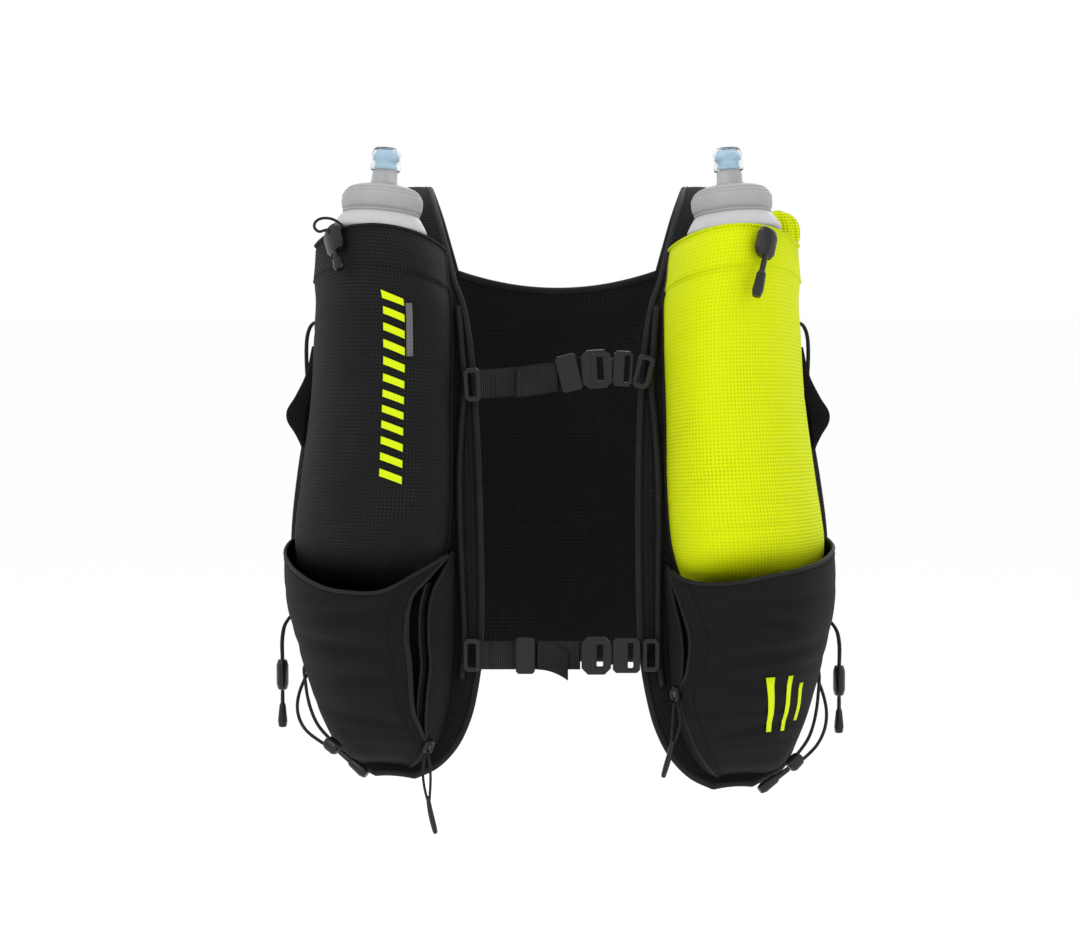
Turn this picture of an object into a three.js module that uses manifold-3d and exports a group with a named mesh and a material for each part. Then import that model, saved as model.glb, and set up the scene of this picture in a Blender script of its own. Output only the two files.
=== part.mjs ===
// Running hydration vest with two soft flasks, in millimetres.
// X runs to the right as seen from the front, Y to the back and Z up. The origin is the
// middle of the neck opening at the top of the shoulders. Side -1 is the black bottle
// pocket's side and side +1 the yellow one's.

import * as THREE from 'three';
import { mergeVertices } from 'three/addons/utils/BufferGeometryUtils.js';
import Module from 'manifold-3d';

const wasm = await Module();
wasm.setup();

// Driving sizes of the harness

const frontDrop = 367;          // lowest edge of the front panels below the shoulders
const chestDepth = 114;         // breastbone in front of the shoulder line
const backDepth = 104;          // shoulder blades behind the shoulder line
const backDrop = 312;           // lower edge of the back panel below the shoulders
const backHalfWidth = 126;      // half of the back panel at its top
const neckHalfWidth = 76;       // inner edge of a shoulder strap from the middle
const shoulderSlope = 16;       // fall of a shoulder strap from its inner to its outer edge
const neckDip = 12;             // sag of the nape edge between the straps
const padThickness = 4;         // spacer mesh of the harness
const edgeStrip = 20;           // front panel between its inner edge and the bottle pocket
const sideMargin = 12;          // front panel past the bottle pocket at the flank
const wornDrop = 7;             // how far the lower end of side +1 hangs below side -1
const wornSpread = 9;           // and how far it stands out from it

// Driving sizes of the pockets and flasks

const clothWall = 1.4;
const hemWall = 2.4;            // doubled cloth of a bottle pocket's hem
const seatGap = 0.4;            // clearance between neighbouring pieces
const flaskWidth = 74;
const flaskDepth = 56;
const flaskLength = 206;        // soft body of a flask from its shoulder to its base
const flaskFit = 2.0;           // clearance of a flask in its pocket
const flaskTopDrop = 16;        // shoulder of a flask below the shoulder line
const rimDrop = 34;             // seam ends of a bottle pocket's rim below the shoulders
const rimRise = 13;             // front of the rim above its seam ends
const bottleSeamDepth = 26;     // bottle pocket's lower seam below the flask's base
const lowerPocketDepth = 66;
const lowerSplay = 0.20;        // sideways share of the lower pockets' outward direction
const bottleSplay = 0.08;
const rearPocketDepth = 40;
const rearRimDrop = 96;
const rearSeamDrop = 300;
const meshPocketDepth = 14;

// Driving sizes of the flask tops

const capDiameter = 51;
const capHeight = 17;
const stemDiameter = 17;
const shieldDiameter = 18.6;
const shieldHeight = 15;
const stemHeight = 8;
const capClearance = 3.6;       // neck of a flask between its shoulder and the cap
const flaskLeanIn = 5;          // degrees, towards the neck
const flaskLeanBack = 8;        // degrees, towards the back

// Driving sizes of the fastenings

const railDiameter = 4.4;
const webWidth = 18;
const webThickness = 1.6;
const strapStandoff = 7.0;      // sternum straps in front of the front panels' faces
const upperStrapDrop = 112;
const lowerStrapDrop = 289;
const buckleLength = 30;
const buckleWidth = 24;
const buckleThickness = 9;
const keeperLength = 14;
const ringWidth = 10.5;
const ringHeight = 21;
const ringThickness = 3;
const cordDiameter = 2.2;
const zipTapeWidth = 7;
const zipTapeThickness = 1.2;
const sideStrapWidth = 18;
const sideStrapDrop = 296;
const sideStrapLift = 3.2;      // clearance over the back panel's curved edge

// Sizes that follow from the driving ones

const pocketWidth = flaskWidth + 2 * (flaskFit + clothWall) + 3;
const panelWidth = edgeStrip + pocketWidth + sideMargin;
const flaskBaseDrop = flaskTopDrop + flaskLength;
const bottleSeamDrop = flaskBaseDrop + bottleSeamDepth;
const bottlePocketDepth = flaskDepth + 2 * flaskFit + clothWall;

// Tables of sections. Drops are shares of frontDrop or backDrop, edges of neckHalfWidth,
// widths of panelWidth. Depths are shares of chestDepth in front and, when negative, of
// backDepth behind. Tucks are shares of shoulderSlope and bows of chestDepth.

const harnessRows = table('drop edge width innerDepth outerDepth tuck bow', [
  [1.000, 1.20, 0.22, 0.87, 0.76, 0, 0.015],
  [0.982, 1.00, 0.52, 0.88, 0.60, 0, 0.055],
  [0.951, 0.85, 0.70, 0.90, 0.47, 0, 0.105],
  [0.910, 0.745, 0.83, 0.91, 0.39, 0, 0.145],
  [0.864, 0.68, 0.92, 0.92, 0.33, 0, 0.175],
  [0.790, 0.625, 1.02, 0.94, 0.27, 0, 0.20],
  [0.700, 0.61, 1.095, 0.96, 0.22, 0, 0.215],
  [0.594, 0.615, 1.10, 0.985, 0.21, 0, 0.225],
  [0.477, 0.63, 1.05, 1.00, 0.22, 0, 0.225],
  [0.357, 0.66, 0.965, 1.00, 0.24, 0, 0.215],
  [0.264, 0.70, 0.905, 0.99, 0.26, 0, 0.195],
  [0.188, 0.765, 0.83, 0.93, 0.27, 0, 0.165],
  [0.139, 0.85, 0.74, 0.85, 0.28, 0, 0.135],
  [0.071, 0.94, 0.63, 0.67, 0.26, 0.3, 0.10],
  [0.012, 1.03, 0.52, 0.42, 0.18, 0.75, 0.07],
  [-0.018, 1.08, 0.48, 0.14, 0.04, 1.0, 0.055],
  [-0.022, 1.09, 0.47, -0.10, -0.12, 1.0, 0.05],
  [-0.006, 1.07, 0.47, -0.35, -0.32, 0.9, 0.04],
  [0.030, 1.02, 0.48, -0.57, -0.52, 0.7, 0.03],
  [0.080, 0.96, 0.50, -0.75, -0.67, 0.35, 0.018],
  [0.128, 0.90, 0.515, -0.86, -0.76, 0, 0.012],
]);
const lastFrontRow = 14;

const backRows = table('drop halfWidth middleDepth edgeDepth', [
  [0.150, 1.00, 0.93, 0.77],
  [0.230, 0.93, 0.98, 0.82],
  [0.340, 0.86, 1.00, 0.86],
  [0.580, 0.82, 0.98, 0.83],
  [0.830, 0.88, 0.88, 0.70],
  [0.940, 0.90, 0.83, 0.64],
  [1.000, 0.84, 0.80, 0.63],
]);

// Drops are shares of the pocket's height from its rim ends (0) to its lower seam (1).
// inner is the seam's place past the edge strip, width its span, as shares of pocketWidth,
// and depth a share of the pocket's depth.
const bottleRows = table('drop inner width depth', [
  [-0.20, -0.22, 0.99, 1.86],
  [0.00, -0.20, 0.99, 1.46],
  [0.12, -0.15, 1.03, 1.24],
  [0.25, -0.09, 1.06, 1.09],
  [0.45, -0.03, 1.08, 1.01],
  [0.70, 0.00, 1.16, 1.02],
  [0.84, 0.03, 1.19, 0.97],
  [0.91, 0.07, 1.15, 0.80],
  [0.955, 0.11, 1.09, 0.55],
  [0.985, 0.15, 1.00, 0.28],
  [1.00, 0.18, 0.92, 0.00],
]);

// Drops are shares of frontDrop. inner and outer are the seams' distances from the front
// panel's edges as shares of edgeStrip.
const lowerRows = table('drop inner outer depth', [
  [0.560, 0.86, 0.20, 1.04],
  [0.620, 0.88, 0.15, 1.05],
  [0.678, 0.90, 0.12, 1.03],
  [0.740, 0.90, 0.12, 0.96],
  [0.800, 0.86, 0.12, 0.86],
  [0.860, 0.80, 0.14, 0.74],
  [0.910, 0.72, 0.16, 0.60],
  [0.950, 0.62, 0.18, 0.45],
  [0.978, 0.50, 0.20, 0.28],
  [0.992, 0.42, 0.22, 0.00],
]);

// The rims of the lower pockets: place across and drop as a share of frontDrop.
const lowerRims = {
  [-1]: table('across drop', [
    [0.00, 0.606], [0.10, 0.615], [0.24, 0.634], [0.40, 0.664], [0.52, 0.664],
    [0.68, 0.641], [0.80, 0.624], [0.90, 0.613], [1.00, 0.602],
  ]),
  [1]: table('across drop', [
    [0.00, 0.622], [0.10, 0.638], [0.24, 0.645], [0.40, 0.640], [0.52, 0.627],
    [0.68, 0.6145], [0.80, 0.605], [0.90, 0.600], [1.00, 0.592],
  ]),
};

// Each zip: drop as a share of frontDrop, its place across the pocket and its opening as
// shares of the pocket's span.
const zipLines = {
  [-1]: table('drop zip gape', [
    [0.590, 0.036, 0.03], [0.612, 0.042, 0.03], [0.634, 0.115, 0.07], [0.672, 0.215, 0.11],
    [0.74, 0.25, 0.12], [0.80, 0.25, 0.12], [0.88, 0.255, 0.09], [0.92, 0.215, 0.04],
    [0.945, 0.158, 0.014], [1, 0.17, 0.014],
  ]),
  [1]: table('drop zip gape', [
    [0.590, 0.036, 0.02], [0.640, 0.040, 0.024], [0.68, 0.085, 0.05], [0.74, 0.145, 0.06],
    [0.80, 0.135, 0.04], [0.838, 0.075, 0.014], [0.90, 0.11, 0.014], [1, 0.20, 0.014],
  ]),
};
const zipSliderDrop = { [-1]: 0.946, [1]: 0.838 };

// Soft folds of the lower pockets: middle, reach and depth, with the depth as a share of
// lowerPocketDepth and the drops and reaches as shares of frontDrop.
const lowerFolds = table('drop across height reach depth tilt', [
  [0.715, 0.55, 0.012, 0.30, 0.050, 0.10],
  [0.760, 0.62, 0.014, 0.28, 0.060, -0.06],
  [0.835, 0.66, 0.016, 0.24, 0.050, 0.08],
  [0.900, 0.52, 0.012, 0.20, 0.045, -0.05],
]);

// Flask body sections: share of flaskLength below the shoulder, shares of flaskWidth and
// flaskDepth, the rise of a section's front per millimetre of depth, and the section's shift
// towards the neck as a share of flaskWidth.
const flaskSections = table('down width depth lean aside', [
  [0.000, 0.36, 0.40, 0.10, 0.17],
  [0.014, 0.66, 0.60, 0.10, 0.14],
  [0.050, 0.80, 0.66, 0.08, 0.05],
  [0.110, 0.82, 0.74, 0.04, 0.02],
  [0.300, 0.90, 0.92, 0, 0],
  [0.550, 1.00, 1.00, 0, 0],
  [0.800, 1.00, 1.00, 0, 0],
  [0.900, 0.94, 0.84, 0, 0],
  [0.960, 0.78, 0.56, 0, 0],
  [1.000, 0.50, 0.24, 0, 0],
]);

// The rail's distance from the panel's inner edge, as a share of edgeStrip.
const railRows = table('drop inset', [
  [0.190, 0.24],
  [0.260, 0.33],
  [0.320, 0.36],
  [0.400, 0.56],
  [0.500, 0.70],
  [0.660, 0.68],
  [0.760, 0.60],
  [0.830, 0.56],
]);

// Materials

const looks = {
  pad: look(0x1b1b1d, 0.92),
  mesh: look(0x151517, 0.95),
  blackCloth: look(0x121214, 0.9),
  yellowCloth: look(0xd6e600, 0.8),
  webbing: look(0x1a1a1c, 0.75),
  plastic: look(0x0e0e0f, 0.45),
  cord: look(0x161617, 0.8),
  flask: look(0xd8dadb, 0.35),
  cap: look(0xa9abad, 0.5),
  valve: look(0xb9dcf2, 0.3),
};

const vest = new THREE.Group();
vest.name = 'running_hydration_vest';

// Helpers

function table(names, rows) {
  const keys = names.split(' ');
  return rows.map((row) => Object.fromEntries(keys.map((key, i) => [key, row[i]])));
}

function look(color, roughness, metalness = 0) {
  return new THREE.MeshStandardMaterial({ color, roughness, metalness });
}

function add(name, geometry, material) {
  const mesh = new THREE.Mesh(geometry, material);
  mesh.name = name;
  vest.add(mesh);
  return mesh;
}

function suffix(side) {
  return side < 0 ? 'l' : 'r';
}

// Smooth value of one column at x, through all rows in order.
function along(rows, at, x, key) {
  const last = rows.length - 1;
  let i = 0;
  while (i < last - 1 && rows[i + 1][at] < x) i += 1;
  const slope = (j) => {
    const a = rows[Math.max(j - 1, 0)];
    const b = rows[Math.min(j + 1, last)];
    return (b[key] - a[key]) / (b[at] - a[at]);
  };
  const span = rows[i + 1][at] - rows[i][at];
  const t = THREE.MathUtils.clamp((x - rows[i][at]) / span, 0, 1);
  const t2 = t * t;
  const t3 = t2 * t;
  return (2 * t3 - 3 * t2 + 1) * rows[i][key] + (t3 - 2 * t2 + t) * span * slope(i)
    + (3 * t2 - 2 * t3) * rows[i + 1][key] + (t3 - t2) * span * slope(i + 1);
}

function straight(rows, at, x, key) {
  const last = rows.length - 1;
  let i = 0;
  while (i < last - 1 && rows[i + 1][at] < x) i += 1;
  const t = THREE.MathUtils.clamp((x - rows[i][at]) / (rows[i + 1][at] - rows[i][at]), 0, 1);
  return THREE.MathUtils.lerp(rows[i][key], rows[i + 1][key], t);
}

function signedVolume(positions, index) {
  const a = new THREE.Vector3();
  const b = new THREE.Vector3();
  const c = new THREE.Vector3();
  let volume = 0;
  for (let i = 0; i < index.length; i += 3) {
    a.fromArray(positions, index[i] * 3);
    b.fromArray(positions, index[i + 1] * 3);
    c.fromArray(positions, index[i + 2] * 3);
    volume += a.dot(b.cross(c)) / 6;
  }
  return volume;
}

function closedGeometry(positions, index) {
  const outward = index.slice();
  if (signedVolume(positions, index) < 0) {
    for (let i = 0; i < outward.length; i += 3) {
      [outward[i + 1], outward[i + 2]] = [outward[i + 2], outward[i + 1]];
    }
  }
  const geometry = new THREE.BufferGeometry();
  geometry.setAttribute('position', new THREE.Float32BufferAttribute(positions, 3));
  geometry.setIndex(outward);
  geometry.computeVertexNormals();
  return geometry;
}

// Closed solid between two surfaces, each a function of u and v from 0 to 1.
function sheet(rows, columns, face, back) {
  const positions = [];
  for (const surface of [face, back]) {
    for (let i = 0; i <= rows; i += 1) {
      for (let j = 0; j <= columns; j += 1) {
        positions.push(...surface(i / rows, j / columns).toArray());
      }
    }
  }
  const stride = columns + 1;
  const layer = (rows + 1) * stride;
  const index = [];
  for (let i = 0; i < rows; i += 1) {
    for (let j = 0; j < columns; j += 1) {
      const p = i * stride + j;
      index.push(p, p + 1, p + stride + 1, p, p + stride + 1, p + stride);
      const q = p + layer;
      index.push(q, q + stride + 1, q + 1, q, q + stride, q + stride + 1);
    }
  }
  const edge = (a, b) => index.push(b, a, a + layer, b, a + layer, b + layer);
  for (let j = 0; j < columns; j += 1) {
    edge(j, j + 1);
    edge(rows * stride + j + 1, rows * stride + j);
  }
  for (let i = 0; i < rows; i += 1) {
    edge((i + 1) * stride, i * stride);
    edge(i * stride + columns, (i + 1) * stride + columns);
  }
  return closedGeometry(positions, index);
}

// Closed solid through rings of points, with a flat or pointed cap at each end.
function loft(rings, sides, pointAt) {
  const positions = [];
  const index = [];
  for (let i = 0; i < rings; i += 1) {
    for (let j = 0; j < sides; j += 1) positions.push(...pointAt(i, j / sides).toArray());
  }
  for (let i = 0; i < rings - 1; i += 1) {
    for (let j = 0; j < sides; j += 1) {
      const a = i * sides + j;
      const b = i * sides + (j + 1) % sides;
      index.push(a, b, b + sides, a, b + sides, a + sides);
    }
  }
  for (const ring of [0, rings - 1]) {
    const middle = new THREE.Vector3();
    for (let j = 0; j < sides; j += 1) {
      middle.add(new THREE.Vector3().fromArray(positions, (ring * sides + j) * 3));
    }
    middle.divideScalar(sides);
    const centre = positions.length / 3;
    positions.push(...middle.toArray());
    for (let j = 0; j < sides; j += 1) {
      const a = ring * sides + j;
      const b = ring * sides + (j + 1) % sides;
      if (ring === 0) index.push(centre, b, a);
      else index.push(centre, a, b);
    }
  }
  return closedGeometry(positions, index);
}

function tube(points, diameter, stepLength = 3.4 * diameter) {
  const curve = new THREE.CatmullRomCurve3(points, false, 'centripetal');
  const steps = Math.max(2, Math.round(curve.getLength() / stepLength));
  const section = new THREE.Shape();
  const sides = 8;
  for (let i = 0; i < sides; i += 1) {
    const angle = 2 * Math.PI * i / sides;
    const x = Math.cos(angle) * diameter / 2;
    const y = Math.sin(angle) * diameter / 2;
    if (i === 0) section.moveTo(x, y);
    else section.lineTo(x, y);
  }
  section.closePath();
  return new THREE.ExtrudeGeometry(section, { steps, extrudePath: curve, bevelEnabled: false });
}

// Turns a piece made along Z, with its front towards -Y, to stand at a place.
function stand(mesh, place, up, out) {
  const z = up.clone().normalize();
  const y = out.clone().negate();
  y.addScaledVector(z, -y.dot(z)).normalize();
  const x = new THREE.Vector3().crossVectors(y, z);
  mesh.quaternion.setFromRotationMatrix(new THREE.Matrix4().makeBasis(x, y, z));
  mesh.position.copy(place);
  return mesh;
}

function turned(profile, sides) {
  const points = profile.map(([r, z]) => new THREE.Vector2(r, z));
  const geometry = new THREE.LatheGeometry(points, sides);
  geometry.rotateX(Math.PI / 2);
  return geometry;
}

// Barrel with rounded ends: width along X, depth along Y and height along Z.
function barrel(width, depth, height, sides = 12) {
  const profile = [[0, -0.5], [0.36, -0.5], [0.5, -0.30], [0.5, 0.30], [0.36, 0.5], [0, 0.5]];
  const geometry = turned(profile, sides);
  geometry.scale(width, depth, height);
  return geometry;
}

function asSolid(geometry) {
  const bare = geometry.clone();
  bare.deleteAttribute('normal');
  bare.deleteAttribute('uv');
  const merged = mergeVertices(bare, 1e-4);
  const mesh = new wasm.Mesh({
    numProp: 3,
    vertProperties: new Float32Array(merged.attributes.position.array),
    triVerts: new Uint32Array(merged.index.array),
  });
  return new wasm.Manifold(mesh);
}

function asGeometry(solid) {
  const mesh = solid.getMesh();
  const geometry = new THREE.BufferGeometry();
  const positions = new Float32Array(mesh.vertProperties);
  geometry.setAttribute('position', new THREE.BufferAttribute(positions, 3));
  geometry.setIndex(Array.from(mesh.triVerts));
  geometry.computeVertexNormals();
  return geometry;
}

// Block with its corners cut, length along X, thickness along Y and height along Z.
function block(length, thickness, height, corner = 1.5) {
  const x = length / 2;
  const z = height / 2;
  const shape = new THREE.Shape();
  shape.moveTo(-x + corner, -z);
  shape.lineTo(x - corner, -z);
  shape.lineTo(x, -z + corner);
  shape.lineTo(x, z - corner);
  shape.lineTo(x - corner, z);
  shape.lineTo(-x + corner, z);
  shape.lineTo(-x, z - corner);
  shape.lineTo(-x, -z + corner);
  shape.closePath();
  const geometry = new THREE.ExtrudeGeometry(shape, { depth: thickness, bevelEnabled: false });
  geometry.rotateX(Math.PI / 2);
  geometry.translate(0, thickness / 2, 0);
  return geometry;
}

// Form of the harness

function depthAt(share) {
  return share > 0 ? -share * chestDepth : -share * backDepth;
}

const numberedRows = harnessRows.map((row, i) => ({ ...row, row: i }));

// Edge points of one side at a place counted in rows along the harness.
function harnessEdges(side, place) {
  const value = (key) => along(numberedRows, 'row', place, key);
  const z = -value('drop') * frontDrop;
  const inner = value('edge') * neckHalfWidth;
  const outer = inner + value('width') * panelWidth;
  return {
    inner: new THREE.Vector3(side * inner, depthAt(value('innerDepth')), z),
    outer: new THREE.Vector3(
      side * outer, depthAt(value('outerDepth')), z - value('tuck') * shoulderSlope),
    bow: value('bow') * chestDepth,
  };
}

function harnessMiddle(side, place) {
  const { inner, outer } = harnessEdges(side, place);
  return inner.add(outer).multiplyScalar(0.5);
}

function harnessFace(side, place, across) {
  const { inner, outer, bow } = harnessEdges(side, place);
  const chord = outer.clone().sub(inner);
  const ahead = harnessMiddle(side, Math.min(place + 0.05, harnessRows.length - 1));
  const behind = harnessMiddle(side, Math.max(place - 0.05, 0));
  const normal = chord.clone().cross(ahead.sub(behind)).multiplyScalar(side).normalize();
  const bulge = bow * 4 * across * (1 - across);
  return asWorn(side, inner.addScaledVector(chord, across).addScaledVector(normal, bulge));
}

// The vest sits a little askew: side +1 hangs lower and wider towards its lower end.
function asWorn(side, point) {
  if (side < 0) return point;
  const share = THREE.MathUtils.clamp(-point.z / frontDrop, 0, 1) ** 2;
  point.x += wornSpread * share;
  point.z -= wornDrop * share;
  return point;
}

function harnessNormal(side, place, across) {
  const last = harnessRows.length - 1;
  const a = harnessFace(side, Math.min(place + 0.02, last), across);
  const b = harnessFace(side, Math.max(place - 0.02, 0), across);
  const c = harnessFace(side, place, across + 0.01);
  const d = harnessFace(side, place, across - 0.01);
  return c.sub(d).cross(a.sub(b)).multiplyScalar(side).normalize();
}

function harnessPoint(side, place, across, height) {
  return harnessFace(side, place, across)
    .addScaledVector(harnessNormal(side, place, across), height);
}

// Row place of a height on the front of the harness.
function frontPlace(z) {
  let low = 0;
  let high = lastFrontRow;
  for (let i = 0; i < 40; i += 1) {
    const middle = (low + high) / 2;
    if (-along(numberedRows, 'row', middle, 'drop') * frontDrop < z) low = middle;
    else high = middle;
  }
  return (low + high) / 2;
}

// Place across the front panel at a distance from the middle plane.
function acrossAt(place, distance) {
  let low = -0.05;
  let high = 1.05;
  for (let i = 0; i < 30; i += 1) {
    const middle = (low + high) / 2;
    if (-harnessFace(-1, place, middle).x < distance) low = middle;
    else high = middle;
  }
  return (low + high) / 2;
}

function panelEdgeDistance(place) {
  return along(numberedRows, 'row', place, 'edge') * neckHalfWidth;
}

// Harness panels, from the lower front edge over the shoulder to the back panel

const harnessSteps = 26;

function harnessStep(u) {
  return u * (harnessRows.length - 1);
}

function addHarnessPanel(side) {
  const layer = (height) => (u, v) => harnessPoint(side, harnessStep(u), v, height);
  const panel = sheet(harnessSteps, 6, layer(0), layer(-padThickness));
  add(`harness_panel_${suffix(side)}`, panel, looks.pad);
}

// Back panel. across runs from -1 to 1.

function backPoint(z, across, height) {
  const face = (level, share) => {
    const drop = -level / backDrop;
    const half = along(backRows, 'drop', drop, 'halfWidth') * backHalfWidth;
    const middle = along(backRows, 'drop', drop, 'middleDepth') * backDepth;
    const edge = along(backRows, 'drop', drop, 'edgeDepth') * backDepth;
    return new THREE.Vector3(share * half, middle - (middle - edge) * share * share, level);
  };
  const wide = face(z, across + 0.01).sub(face(z, across - 0.01));
  const tall = face(z - 2, across).sub(face(z + 2, across));
  const normal = wide.cross(tall).normalize();
  return face(z, across).addScaledVector(normal, height);
}

const strapEnd = harnessRows.length - 1;
const strapShare = 0.46;   // share of the back panel's half width that a strap end takes

function napeRow(across, height) {
  const side = across < 0 ? -1 : 1;
  const fromMiddle = Math.abs(across);
  if (fromMiddle >= 1 - strapShare - 1e-6) {
    const v = (fromMiddle - (1 - strapShare)) / strapShare;
    const end = harnessPoint(side, strapEnd, v, height);
    const before = harnessPoint(side, strapEnd - 0.1, v, height);
    const onward = end.clone().sub(before).normalize();
    return end.addScaledVector(onward, seatGap);
  }
  const left = napeRow(-(1 - strapShare), height);
  const right = napeRow(1 - strapShare, height);
  const w = (across / (1 - strapShare) + 1) / 2;
  const point = left.lerp(right, w);
  const arch = 4 * w * (1 - w);
  point.z -= neckDip * arch;
  point.y += backDepth * 0.045 * arch;
  return point;
}

const napeColumns = [
  -1, -0.885, -0.77, -0.655, -0.54, -0.36, -0.18, 0, 0.18, 0.36, 0.54, 0.655, 0.77, 0.885, 1,
];
const backLevels = [0.225, 0.30, 0.40, 0.50, 0.60, 0.70, 0.80, 0.88, 0.94, 0.98, 1];

function addBackPanel() {
  const layer = (height) => (u, v) => {
    const across = napeColumns[Math.round(v * (napeColumns.length - 1))];
    const level = Math.round(u * backLevels.length);
    if (level === 0) return napeRow(across, height);
    return backPoint(-backLevels[level - 1] * backDrop, across, height);
  };
  const panel = sheet(backLevels.length, napeColumns.length - 1, layer(0), layer(-padThickness));
  add('back_panel', panel, looks.pad);
}

// Rounded arc of a pocket's section: how far across and how far out at v from 0 to 1.
function pocketArc(v, squareness) {
  const angle = Math.PI * v;
  const cosine = Math.cos(angle);
  const across = -Math.sign(cosine) * Math.abs(cosine) ** (2 / squareness);
  const out = Math.max(Math.sin(angle), 0) ** (2 / squareness);
  return { across, out };
}

function addBackPocket() {
  const height = rearSeamDrop - rearRimDrop;
  const layer = (inset) => (u, v) => {
    const { across, out } = pocketArc(v, 3.2);
    const z = -rearSeamDrop + inset + u * (height - inset - 6 * (1 - out) * u);
    const rise = Math.min(1, Math.sqrt(Math.max(u * (height / rearPocketDepth), 0)));
    const reach = 0.80 - inset / backHalfWidth;
    const point = backPoint(z, across * reach, 2 * seatGap);
    point.y += Math.max(rearPocketDepth * rise * (0.86 + 0.14 * u) - inset, 0) * out;
    return point;
  };
  add('back_pocket', sheet(8, 12, layer(0), layer(clothWall)), looks.blackCloth);
}

// Bottle pockets

function bottleSection(z) {
  const share = (-z - rimDrop) / (bottleSeamDrop - rimDrop);
  const value = (key) => along(bottleRows, 'drop', share, key);
  const place = frontPlace(z);
  const start = panelEdgeDistance(place) + edgeStrip * 0.98 + value('inner') * pocketWidth;
  const width = value('width') * pocketWidth;
  return { place, start, width, depth: value('depth') * bottlePocketDepth };
}

function outward(side, splay) {
  return new THREE.Vector3(side * splay, -Math.sqrt(1 - splay * splay), 0);
}

function bottlePoint(side, z, v, inset) {
  const { place, start, width, depth } = bottleSection(z);
  const { across, out } = pocketArc(v, 2.5);
  const distance = start + width / 2 + across * (width / 2 - inset);
  const base = harnessPoint(side, place, acrossAt(place, distance), seatGap);
  return base.addScaledVector(outward(side, bottleSplay), Math.max(depth - inset, 0) * out);
}

function addBottlePocket(side, cloth) {
  const levels = [0, 0.018, 0.045, 0.09, 0.16, 0.30, 0.45, 0.60, 0.74, 0.85, 0.895, 0.905, 1];
  const rimAt = (v) => -rimDrop + rimRise * pocketArc(v, 2.5).out;
  const layer = (outer) => (u, v) => {
    const level = levels[Math.round(u * (levels.length - 1))];
    const top = rimAt(v);
    const bottom = -bottleSeamDrop + (outer ? 0 : clothWall);
    const z = bottom + (top - bottom) * level;
    const inHem = level > 0.9;
    const inset = outer ? (inHem ? clothWall - hemWall : 0) : clothWall;
    return bottlePoint(side, z, v, inset);
  };
  add(`bottle_pocket_${suffix(side)}`, sheet(levels.length - 1, 12, layer(true), layer(false)), cloth);
}

// Soft flasks

function flaskPoint(side, row, angle) {
  const z = -flaskTopDrop - row.down * flaskLength;
  const section = bottleSection(z);
  const aside = section.start + section.width / 2 - row.aside * flaskWidth
    + Math.cos(angle) * row.width * flaskWidth / 2;
  const base = harnessPoint(side, section.place, acrossAt(section.place, aside), seatGap);
  const behind = flaskFit + flaskDepth / 2;
  const inFront = section.depth - clothWall - 3 * flaskFit - flaskDepth / 2;
  const forward = Math.sin(angle) * row.depth * flaskDepth / 2;
  base.z += forward * row.lean;
  return base.addScaledVector(outward(side, bottleSplay), Math.max(behind, inFront) + forward);
}

function addFlask(side) {
  const sides = 14;
  const body = loft(flaskSections.length, sides, (i, share) => (
    flaskPoint(side, flaskSections[i], 2 * Math.PI * share)));
  const name = suffix(side);
  const neck = flaskPoint(side, flaskSections[0], Math.PI / 2)
    .add(flaskPoint(side, flaskSections[0], -Math.PI / 2)).multiplyScalar(0.5);
  const up = new THREE.Vector3(
    -side * Math.tan(THREE.MathUtils.degToRad(flaskLeanIn)),
    Math.tan(THREE.MathUtils.degToRad(flaskLeanBack)), 1).normalize();
  const front = outward(side, 0);
  const r = capDiameter / 2;
  const neckTop = capClearance - seatGap;
  const collar = turned([[0, -2], [0.5 * r, -2], [0.5 * r, neckTop], [0, neckTop]], 14);
  const standing = stand(new THREE.Mesh(collar), neck, up, front);
  standing.updateMatrix();
  add(`flask_body_${name}`, joined([body, collar.applyMatrix4(standing.matrix)]), looks.flask);

  const cap = turned([
    [0, 0], [0.94 * r, 0], [r, 0.12 * capHeight], [r, 0.42 * capHeight],
    [0.93 * r, 0.50 * capHeight], [0.93 * r, 0.62 * capHeight], [0.82 * r, 0.80 * capHeight],
    [0.50 * r, capHeight], [0, capHeight],
  ], 20);
  const capBase = neck.clone().addScaledVector(up, capClearance);
  stand(add(`flask_cap_${name}`, cap, looks.cap), capBase, up, front);

  const s = stemDiameter / 2;
  const w = shieldDiameter / 2;
  const foot = stemHeight;
  const top = foot + shieldHeight;
  const valve = turned([
    [0, 0], [s, 0], [0.88 * s, foot], [w, foot + 0.12 * shieldHeight],
    [w, foot + 0.78 * shieldHeight], [0.86 * w, top], [0, top],
  ], 14);
  const valveBase = capBase.clone().addScaledVector(up, capHeight + seatGap);
  stand(add(`bite_valve_${name}`, valve, looks.valve), valveBase, up, front);
}

// Lower pockets, each with a front, an inner gusset and a zip between them

function lowerSection(side, z) {
  const drop = -z / frontDrop;
  const value = (key) => along(lowerRows, 'drop', drop, key);
  const place = frontPlace(z);
  const inner = panelEdgeDistance(place) + value('inner') * edgeStrip;
  const outer = panelEdgeDistance(place)
    + along(numberedRows, 'row', place, 'width') * panelWidth - value('outer') * edgeStrip;
  return {
    place, inner, outer,
    depth: Math.max(value('depth'), 0) * lowerPocketDepth,
    zip: along(zipLines[side], 'drop', drop, 'zip'),
    gape: straight(zipLines[side], 'drop', drop, 'gape'),
  };
}

function foldDepth(z, v) {
  let depth = 0;
  for (const fold of lowerFolds) {
    const middle = fold.drop + fold.tilt * (v - fold.across);
    const down = (-z / frontDrop - middle) / fold.height;
    const aside = (v - fold.across) / fold.reach;
    depth += fold.depth * lowerPocketDepth * Math.exp(-down * down - aside * aside);
  }
  return depth;
}

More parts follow.
